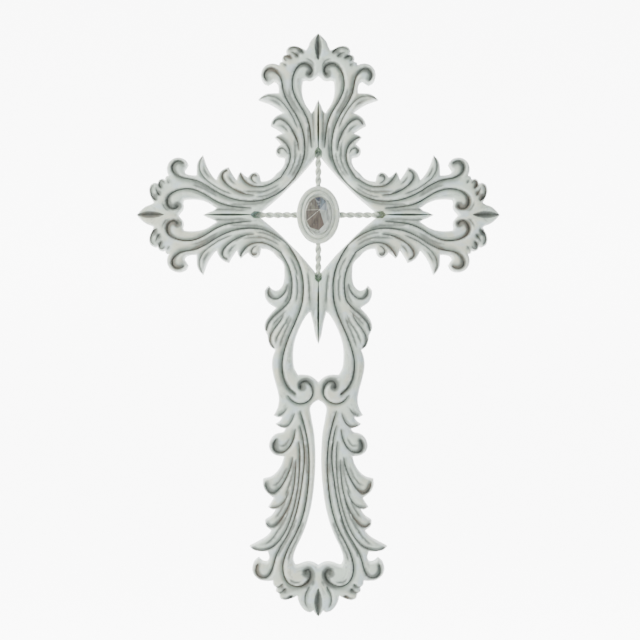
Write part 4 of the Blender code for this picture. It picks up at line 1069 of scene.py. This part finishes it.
class TwistRods(bpy.types.Operator):
    """Twists the four two-stranded rods that hold the boss"""

    bl_idname = "scalloped_cross.twist_rods"
    bl_label = "Twist the rods"

    def execute(self, context):
        settings = settings_of(context)
        material = whitewash("painted_rod", settings.paint)
        tree = rod_tree(material)
        for node in RODS:
            mesh = self.twisted(context, tree, settings.rods, node)
            store_masks(mesh, self.paint_marks(mesh, settings.rods, node))
            add_piece("twisted_" + node, mesh, material, node)
        return {"FINISHED"}

    def twisted(self, context, tree, rods, node):
        """The mesh of one rod, between the ends of its solid."""
        middle, way = rod_axis(node)
        wanted = {"Strand Diameter": rods.strand_diameter, "Rod Diameter": rods.rod_diameter,
                  "Lobe Pitch": rods.lobe_pitch, "Point Length": rods.point_length,
                  "Inner End": middle - way, "Outer End": middle + way}
        guide = bpy.data.objects.new(node + "_guide", bpy.data.meshes.new(node + "_guide"))
        context.scene.collection.objects.link(guide)
        modifier = guide.modifiers.new("twist", "NODES")
        modifier.node_group = tree
        for item in tree.interface.items_tree:
            if item.in_out == "INPUT":
                modifier[item.identifier] = wanted[item.name]
        context.view_layer.update()
        mesh = bpy.data.meshes.new_from_object(guide.evaluated_get(context.evaluated_depsgraph_get()))
        mesh.name = "twisted_" + node
        bpy.data.objects.remove(guide)
        return mesh

    def paint_marks(self, mesh, rods, node):
        """Paint masks of a rod: darker between its strands, stained at its tip, painted shade at its root."""
        middle, way = rod_axis(node)
        dx, dz = RODS[node]
        places = np.empty(3 * len(mesh.vertices))
        mesh.vertices.foreach_get("co", places)
        places = places.reshape(-1, 3)
        across = places[:, 2] - CROSSING_Z if dx else places[:, 0]
        off_axis = np.hypot(across, places[:, 1] - middle.y) / (0.5 * rods.rod_diameter)
        along = (places - np.array(middle)) @ np.array((dx, 0, dz)) / way.length
        # Darker between the two strands.
        creases = np.clip(1.55 - 2.0 * off_axis, 0, 1)
        tips = np.clip((along - 0.66) / 0.16, 0, 1) * 0.5
        # Painted shade at the root, where the rod goes into the boss.
        root_shade = np.clip((-0.86 - along) / 0.08, 0, 1) * 0.7
        hollow = np.maximum(np.maximum(0.45 * creases, tips), root_shade)
        haze = np.maximum(np.clip(2.1 - 2.0 * off_axis, 0, 1) * 0.6, hollow)
        # A painted highlight on the outside of the lobes.
        crest = np.clip(off_axis, 0, 1) ** 3 * 0.25
        to_edge, bare = np.full(len(places), NO_EDGE_NEAR), np.zeros(len(places))
        return np.column_stack([hollow, haze, crest, to_edge, bare])


def oval_ring(node, inset, height, sides, phase=0.0):
    """Drawn points on the oval of a solid's outline, inset, at a height off the wall in millimetres."""
    low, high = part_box(node)
    half_x, half_z = (high.x - low.x) / 2 / UNIT, (high.z - low.z) / 2 / UNIT
    turns = 2 * math.pi * (np.arange(sides) + phase) / sides
    return np.column_stack([(half_x - inset) * np.cos(turns), (half_z - inset) * np.sin(turns),
                            np.full(sides, height)])


class TurnBoss(bpy.types.Operator):
    """Turns the oval boss with its stepped rim, its seat for the jewel and its sockets for the rods"""

    bl_idname = "scalloped_cross.turn_boss"
    bl_label = "Turn the boss"
    SOCKET_RADIUS, DRILL_LENGTH, SOCKET_PLAY = 0.00355, 0.02, 0.0003

    def execute(self, context):
        settings = settings_of(context)
        solid = bpy.data.objects.new("boss_blank", self.blank(settings.boss))
        context.scene.collection.objects.link(solid)
        drills = [self.drill(context, solid, node) for node in RODS]
        context.view_layer.update()
        bored = bpy.data.meshes.new_from_object(solid.evaluated_get(context.evaluated_depsgraph_get()))
        for item in (solid, *drills):
            bpy.data.objects.remove(item)
        bm = bmesh.new()
        bm.from_mesh(bored)
        bmesh.ops.remove_doubles(bm, verts=bm.verts, dist=2e-6)
        bmesh.ops.dissolve_degenerate(bm, dist=1e-6, edges=bm.edges)
        bm.to_mesh(bored)
        bm.free()
        bored.name = "jewelled_boss"
        material = whitewash("painted_boss", settings.paint)
        add_piece("oval_boss", bored, material, "medallion")
        return {"FINISHED"}

    def blank(self, boss):
        """The boss before its sockets are bored, as ovals from its back round to the jewel's seat."""
        sides = boss.sides
        low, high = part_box("medallion")
        jewel_low, jewel_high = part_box("jewel")
        back, bezel = -high.y * 1000, -low.y * 1000
        rim, top = boss.rim_width * 1000, bezel - 0.5
        gap = boss.seat_gap * 1000
        seat = (high.x - low.x - (jewel_high.x - jewel_low.x)) / 2 * 1000 - gap
        groove = boss.rim_groove * 1000
        # Each oval's inset and height, and its shares of stain, haze and crest. Down the outer side the haze
        # is a painted shade; the crest is a painted highlight.
        profile = [
            (0.9, back, 0.0, 0.0, 0.0), (0.35, back + 0.15, 0.0, 0.3, 0.0),
            (0.0, back + 0.8, 0.0, 0.3, 0.1), (0.0, top - 2.4, 0.0, 0.5, 0.1),
            (0.12, top - 1.5, 0.0, 0.45, 0.2), (0.6, top - 0.75, 0.0, 0.3, 0.5),
            (1.4, top - 0.2, 0.0, 0.25, 0.3), (2.3, top, 0.0, 0.2, 0.3),
            (rim - 1.2, top - 0.1, 0.0, 0.3, 0.2), (rim - 0.35, top - 0.35, 0.0, 0.4, 0.0),
            (rim, top - groove, 0.25, 0.7, 0.0),
            (rim + 0.25, top - groove, 0.2, 0.7, 0.0), (rim + 0.7, top - 0.62, 0.0, 0.3, 0.1),
            (rim + 1.2, top - 0.55, 0.0, 0.15, 0.3), (seat - 1.3, top - 0.45, 0.0, 0.15, 0.3),
            (seat - 0.9, top - 0.3, 0.0, 0.25, 0.2), (seat - 0.5, bezel - 0.06, 0.0, 0.1, 0.6),
            (seat - 0.2, bezel, 0.0, 0.0, 0.6), (seat, bezel - 0.2, 0.0, 0.1, 0.2),
            (seat, bezel - boss.seat_depth * 1000, 0.0, 0.0, 0.6),
        ]
        places = np.vstack([oval_ring("medallion", inset, height, sides) for inset, height, *_ in profile])
        masks = np.vstack([np.tile((hollow, haze, crest, NO_EDGE_NEAR, 0.0), (sides, 1))
                           for *_, hollow, haze, crest in profile])
        polygons = [tuple(range(sides)), tuple(range(len(places) - sides, len(places)))]
        for near in range(0, (len(profile) - 1) * sides, sides):
            far = near + sides
            polygons += [(near + a, near + b, far + b, far + a) for a, b in loop_pairs(sides, 0)]
        mesh = new_mesh("jewelled_boss", places, polygons)
        store_masks(mesh, masks)
        return mesh

    def drill(self, context, solid, node):
        """Takes a socket for a rod's inner end out of the boss."""
        middle, way = rod_axis(node)
        dx, dz = RODS[node]
        mesh = bpy.data.meshes.new("drill")
        bm = bmesh.new()
        bmesh.ops.create_cone(bm, cap_ends=True, segments=32, radius1=self.SOCKET_RADIUS,
                              radius2=self.SOCKET_RADIUS, depth=self.DRILL_LENGTH)
        turn = Vector((dx, 0, dz)).to_track_quat("Z", "Y").to_matrix().to_4x4()
        bmesh.ops.transform(bm, matrix=turn, verts=bm.verts)
        centre = middle - way + Vector((dx, 0, dz)) * (self.DRILL_LENGTH / 2 - self.SOCKET_PLAY)
        bmesh.ops.translate(bm, vec=centre, verts=bm.verts)
        bm.to_mesh(mesh)
        bm.free()
        # The walls of the socket are painted darker.
        store_masks(mesh, np.tile((0.7, 0.9, 0.0, NO_EDGE_NEAR, 0.0), (len(mesh.vertices), 1)))
        cutter = bpy.data.objects.new("drill_" + node, mesh)
        context.scene.collection.objects.link(cutter)
        cutter.hide_render = True
        modifier = solid.modifiers.new(node, "BOOLEAN")
        modifier.operation = "DIFFERENCE"
        modifier.solver = "EXACT"
        modifier.object = cutter
        return cutter


# The jewel's crown: its peak, and corners round it with their share of the crown's height. The colour of
# a corner is the painted reflection of the facet which spans from it to the next one and up to the peak.
JEWEL_PEAK = (1.2, 4.6)
JEWEL_CORNERS = [
    ((-11.6, -6.4), 0.46, (96, 92, 86)), ((-12.2, 4.4), 0.46, (104, 103, 95)),
    ((-9.4, 12.4), 0.44, (98, 96, 90)), ((-3.6, 17.0), 0.44, (72, 78, 88)),
    ((2.4, 17.4), 0.44, (112, 124, 133)), ((7.8, 13.4), 0.48, (158, 168, 174)),
    ((9.2, 3.4), 0.58, (170, 177, 172)), ((5.8, -10.2), 0.60, (96, 87, 81)),
    ((0.6, -15.6), 0.50, (90, 84, 78)), ((-8.4, -12.8), 0.46, (100, 93, 86)),
]
# Ridges of the crown that carry a painted glint.
GLINT_RIDGES = (0, 1, 6)
# Facets outside the crown's corners: highest x, lowest z in millimetres from the middle, and the colour
# of their painted reflection.
OUTER_REFLECTIONS = [(-3.0, -8.0, (166, 170, 160)), (2.6, -13.4, (150, 156, 146)), (1.5, -30.0, (128, 136, 126)),
               (30.0, 9.0, (176, 184, 180)), (30.0, -30.0, (188, 194, 188))]


class CutJewel(bpy.types.Operator):
    """Cuts the facets of the oval jewel and gives each its own painted reflection"""

    bl_idname = "scalloped_cross.cut_jewel"
    bl_label = "Cut the jewel"

    def execute(self, context):
        boss = settings_of(context).boss
        low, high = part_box("jewel")
        back, top = -high.y * 1000, -low.y * 1000
        girdle = back + 1.5
        crown = top - girdle
        half = (high.x - low.x) / 2 * 1000
        places = [place for inset, height, count, phase in
                  [(0.0, back, 32, 0.0), (0.0, girdle, 32, 0.0), (0.13, girdle + 0.36 * crown, 16, 0.5)]
                  for place in oval_ring("jewel", half * inset, height, count, phase)]
        places += [(*corner, girdle + share * crown) for corner, share, _ in JEWEL_CORNERS]
        places.append((*JEWEL_PEAK, top))
        bm = bmesh.new()
        for x, z, height in places:
            bm.verts.new((x * UNIT, -height / 1000, CROSSING_Z + z * UNIT))
        hull = bmesh.ops.convex_hull(bm, input=bm.verts)
        spare = {item for item in hull["geom_unused"] + hull["geom_interior"]
                 if isinstance(item, bmesh.types.BMVert)}
        bmesh.ops.delete(bm, geom=list(spare), context="VERTS")
        bmesh.ops.dissolve_limit(bm, angle_limit=math.radians(1.5), verts=bm.verts, edges=bm.edges)
        facets = [(face.normal.copy(), face.calc_center_median().copy()) for face in bm.faces]
        bmesh.ops.bevel(bm, geom=bm.edges, offset=boss.facet_edge, offset_type="WIDTH", segments=1,
                        affect="EDGES", profile=0.5)
        bmesh.ops.recalc_face_normals(bm, faces=bm.faces)
        mesh = bpy.data.meshes.new("faceted_jewel")
        bm.to_mesh(mesh)
        bm.free()
        # Each face gets a painted reflection: its facet's, or on an edge a painted glint or a dull line.
        shades = []
        for face in mesh.polygons:
            likely = max(facets, key=lambda facet: facet[0].dot(face.normal))
            flat = likely[0].dot(face.normal) > 0.9999
            tone = self.reflection_at(likely[1]) if flat else self.edge_reflection_at(face.center)
            shades += [(*tone, 1.0)] * face.loop_total
        reflection_layer = mesh.attributes.new("tone", "FLOAT_COLOR", "CORNER")
        reflection_layer.data.foreach_set("color", np.array(shades, np.float32).ravel())
        add_piece("faceted_jewel", mesh, self.material(), "jewel")
        return {"FINISHED"}

    def reflection_at(self, middle):
        """The painted reflection of a facet, from where its middle lies."""
        place = (middle.x / UNIT, (middle.z - CROSSING_Z) / UNIT)
        for (start, _, colour), (end, _, _) in zip(JEWEL_CORNERS, JEWEL_CORNERS[1:] + JEWEL_CORNERS[:1]):
            if inside(np.array([place]), [np.array([start, end, JEWEL_PEAK])])[0]:
                return paint(*colour)
        vary = 1 + 0.10 * math.sin(17.0 * place[0] + 31.0 * place[1])
        for right, bottom, colour in OUTER_REFLECTIONS:
            if place[0] < right and place[1] > bottom:
                return tuple(min(1.0, vary * c) for c in paint(*colour))
        return paint(*OUTER_REFLECTIONS[-1][2])

    def edge_reflection_at(self, place):
        """The painted reflection of a polished edge: a painted glint on a few ridges of the crown, dull on
        its others.
        """
        place = np.array((place.x / UNIT, (place.z - CROSSING_Z) / UNIT))
        peak = np.array(JEWEL_PEAK)
        outline = [np.array([corner for corner, _, _ in JEWEL_CORNERS])]
        if not inside(place[None], outline)[0]:
            return paint(178, 184, 174)
        for number in GLINT_RIDGES:
            ridge = np.array(JEWEL_CORNERS[number][0]) - peak
            share = np.clip((place - peak) @ ridge / (ridge @ ridge), 0, 1)
            if np.linalg.norm(place - peak - share * ridge) < 0.8:
                return paint(205, 206, 196)
        return paint(112, 108, 102)

    def material(self):
        """Foil-backed acrylic: dark and pale painted reflections on its facets under a clear gloss."""
        finish = Finish("faceted_jewel")
        tone = finish.node("ShaderNodeAttribute", {"attribute_name": "tone"}, {}, "Color")
        flecks, deep = finish.noise(300, 2.0, distortion=1.2), finish.noise(140, 2.0, distortion=2.0)
        reflected_bands = finish.noise(520, 1.0, (1, 1, 0.16))
        # Painted reflections: dark bands, brownish flecks and pale depths in the stone.
        colour = finish.mix(tone, paint(50, 50, 54), reflected_bands.between(0.50, 0.66) * 0.42)
        colour = finish.mix(colour, paint(122, 108, 97), flecks.between(0.55, 0.70) * 0.25)
        colour = finish.mix(colour, paint(206, 212, 208), deep.between(0.60, 0.74) * 0.22)
        finish.plug(finish.shader.inputs["Base Color"], colour)
        finish.plug(finish.shader.inputs["Roughness"], 0.10 + flecks * 0.12)
        finish.shader.inputs["IOR"].default_value = 1.49
        finish.shader.inputs["Coat Weight"].default_value = 0.2
        finish.bump(finish.noise(900, 2.0), 0.00008, 0.25)
        return finish.material


class SetStage(bpy.types.Operator):
    """Sets the pale floor and backdrop, the soft lights and the camera"""

    bl_idname = "scalloped_cross.set_stage"
    bl_label = "Set the stage"

    def execute(self, context):
        stage = settings_of(context).stage
        middle_x, middle_z, off_wall = 0.0017, CROSSING_Z - 0.105, 0.009
        self.backdrop(context, stage, middle_x, middle_z)
        camera = bpy.data.objects.new("photo_camera", bpy.data.cameras.new("photo_camera"))
        camera.data.sensor_width = 36.0
        camera.data.lens = 36.0 * stage.view_distance / stage.view_width
        camera.location = (middle_x, -stage.view_distance - off_wall, middle_z)
        camera.rotation_euler = (math.pi / 2, 0.0, 0.0)
        context.scene.collection.objects.link(camera)
        context.scene.camera = camera
        lights = [("key_light", (-1.35, -1.0, 0.75), 0.7, stage.key_power, stage.key_colour),
                  ("fill_light", (1.6, -1.2, -0.1), 1.2, stage.fill_power, stage.fill_colour)]
        for name, place, size, power, colour in lights:
            light = bpy.data.lights.new(name, "AREA")
            light.shape, light.size, light.energy, light.color = "DISK", size, power, colour
            lamp = bpy.data.objects.new(name, light)
            lamp.location = place
            aim = Vector((0.0, 0.0, middle_z)) - Vector(place)
            lamp.rotation_euler = aim.to_track_quat("-Z", "Y").to_euler()
            context.scene.collection.objects.link(lamp)
        world = bpy.data.worlds.new("studio_air")
        world.use_nodes = True
        air = world.node_tree.nodes["Background"]
        air.inputs["Color"].default_value = (1.0, 1.0, 1.0, 1.0)
        air.inputs["Strength"].default_value = stage.sky
        context.scene.world = world
        return {"FINISHED"}

    def backdrop(self, context, stage, middle_x, middle_z):
        """A floor that sweeps up into a far backdrop."""
        floor, wall, bend = middle_z - 0.72, 2.6, 0.9
        profile = [(-4.0, floor), (wall - bend, floor)]
        profile += [(wall - bend + bend * math.sin(t), floor + bend - bend * math.cos(t))
                    for t in np.linspace(0, math.pi / 2, 16)[1:]]
        profile.append((wall, floor + 4.5))
        bm = bmesh.new()
        rows = [[bm.verts.new((middle_x + x, y, z)) for x in (-4.5, 4.5)] for y, z in profile]
        for (a, b), (c, d) in zip(rows, rows[1:]):
            bm.faces.new((a, b, d, c))
        mesh = bpy.data.meshes.new("studio_floor")
        bm.to_mesh(mesh)
        bm.free()
        mesh.shade_smooth()
        finish = Finish("studio_paper")
        spots = finish.noise(3.0, 2.0)
        low = tuple(0.985 * c for c in stage.backdrop)
        finish.plug(finish.shader.inputs["Base Color"], finish.mix(tuple(stage.backdrop), low, spots))
        finish.shader.inputs["Roughness"].default_value = 0.9
        depth = finish.node("ShaderNodeSeparateXYZ", {}, {"Vector": finish.place}, "Y")
        glow = finish.mix((0.0, 0.0, 0.0), (1.0, 1.0, 1.0), depth.between(0.3, 1.5))
        finish.plug(finish.shader.inputs["Emission Color"], glow)
        finish.shader.inputs["Emission Strength"].default_value = stage.glow
        mesh.materials.append(finish.material)
        sweep = bpy.data.objects.new("studio_floor", mesh)
        context.scene.collection.objects.link(sweep)


class CrossPanel(bpy.types.Panel):
    """Settings and steps of the cross"""

    bl_idname = "VIEW3D_PT_scalloped_cross"
    bl_label = "Scalloped Cross"
    bl_space_type = "VIEW_3D"
    bl_region_type = "UI"
    bl_category = "Cross"

    def draw(self, context):
        settings = settings_of(context)
        groups = (settings.carving, settings.rods, settings.boss, settings.boss, settings.stage)
        for step, group in zip(STEPS, groups):
            box = self.layout.box()
            box.operator(step.bl_idname)
            self.draw_group(box, group)
        box = self.layout.box()
        box.label(text="Paint")
        self.draw_group(box, settings.paint)

    def draw_group(self, box, group):
        """Shows every setting of one group."""
        for name in group.bl_rna.properties.keys():
            if name not in ("rna_type", "name"):
                box.prop(group, name)


class CrossSettings(bpy.types.PropertyGroup):
    """Everything about the cross that can be changed."""

    carving: PointerProperty(type=CarvingSettings, name="Carving", description="Sizes of the carving")
    paint: PointerProperty(type=PaintSettings, name="Paint", description="Colours of the wash and the stain")
    rods: PointerProperty(type=RodSettings, name="Rods", description="Sizes of the twisted rods")
    boss: PointerProperty(type=BossSettings, name="Boss", description="Sizes of the boss and its jewel")
    stage: PointerProperty(type=StageSettings, name="Stage", description="Floor, lights and camera")


STEPS = (CarveFrame, TwistRods, TurnBoss, CutJewel, SetStage)
CLASSES = (CarvingSettings, PaintSettings, RodSettings, BossSettings, StageSettings, CrossSettings, *STEPS,
           CrossPanel)


def register():
    """Adds the settings, the steps and the panel."""
    for item in CLASSES:
        bpy.utils.register_class(item)
    bpy.types.Scene.scalloped_cross = PointerProperty(type=CrossSettings, name="Scalloped Cross",
                                                      description="Settings of the cross")


def unregister():
    """Takes them out again."""
    del bpy.types.Scene.scalloped_cross
    for item in reversed(CLASSES):
        bpy.utils.unregister_class(item)


def main():
    """Dresses the loaded part and sets the stage."""
    register()
    bpy.ops.scalloped_cross.carve_frame()
    bpy.ops.scalloped_cross.twist_rods()
    bpy.ops.scalloped_cross.turn_boss()
    bpy.ops.scalloped_cross.cut_jewel()
    bpy.ops.scalloped_cross.set_stage()


if __name__ == "__main__":
    main()
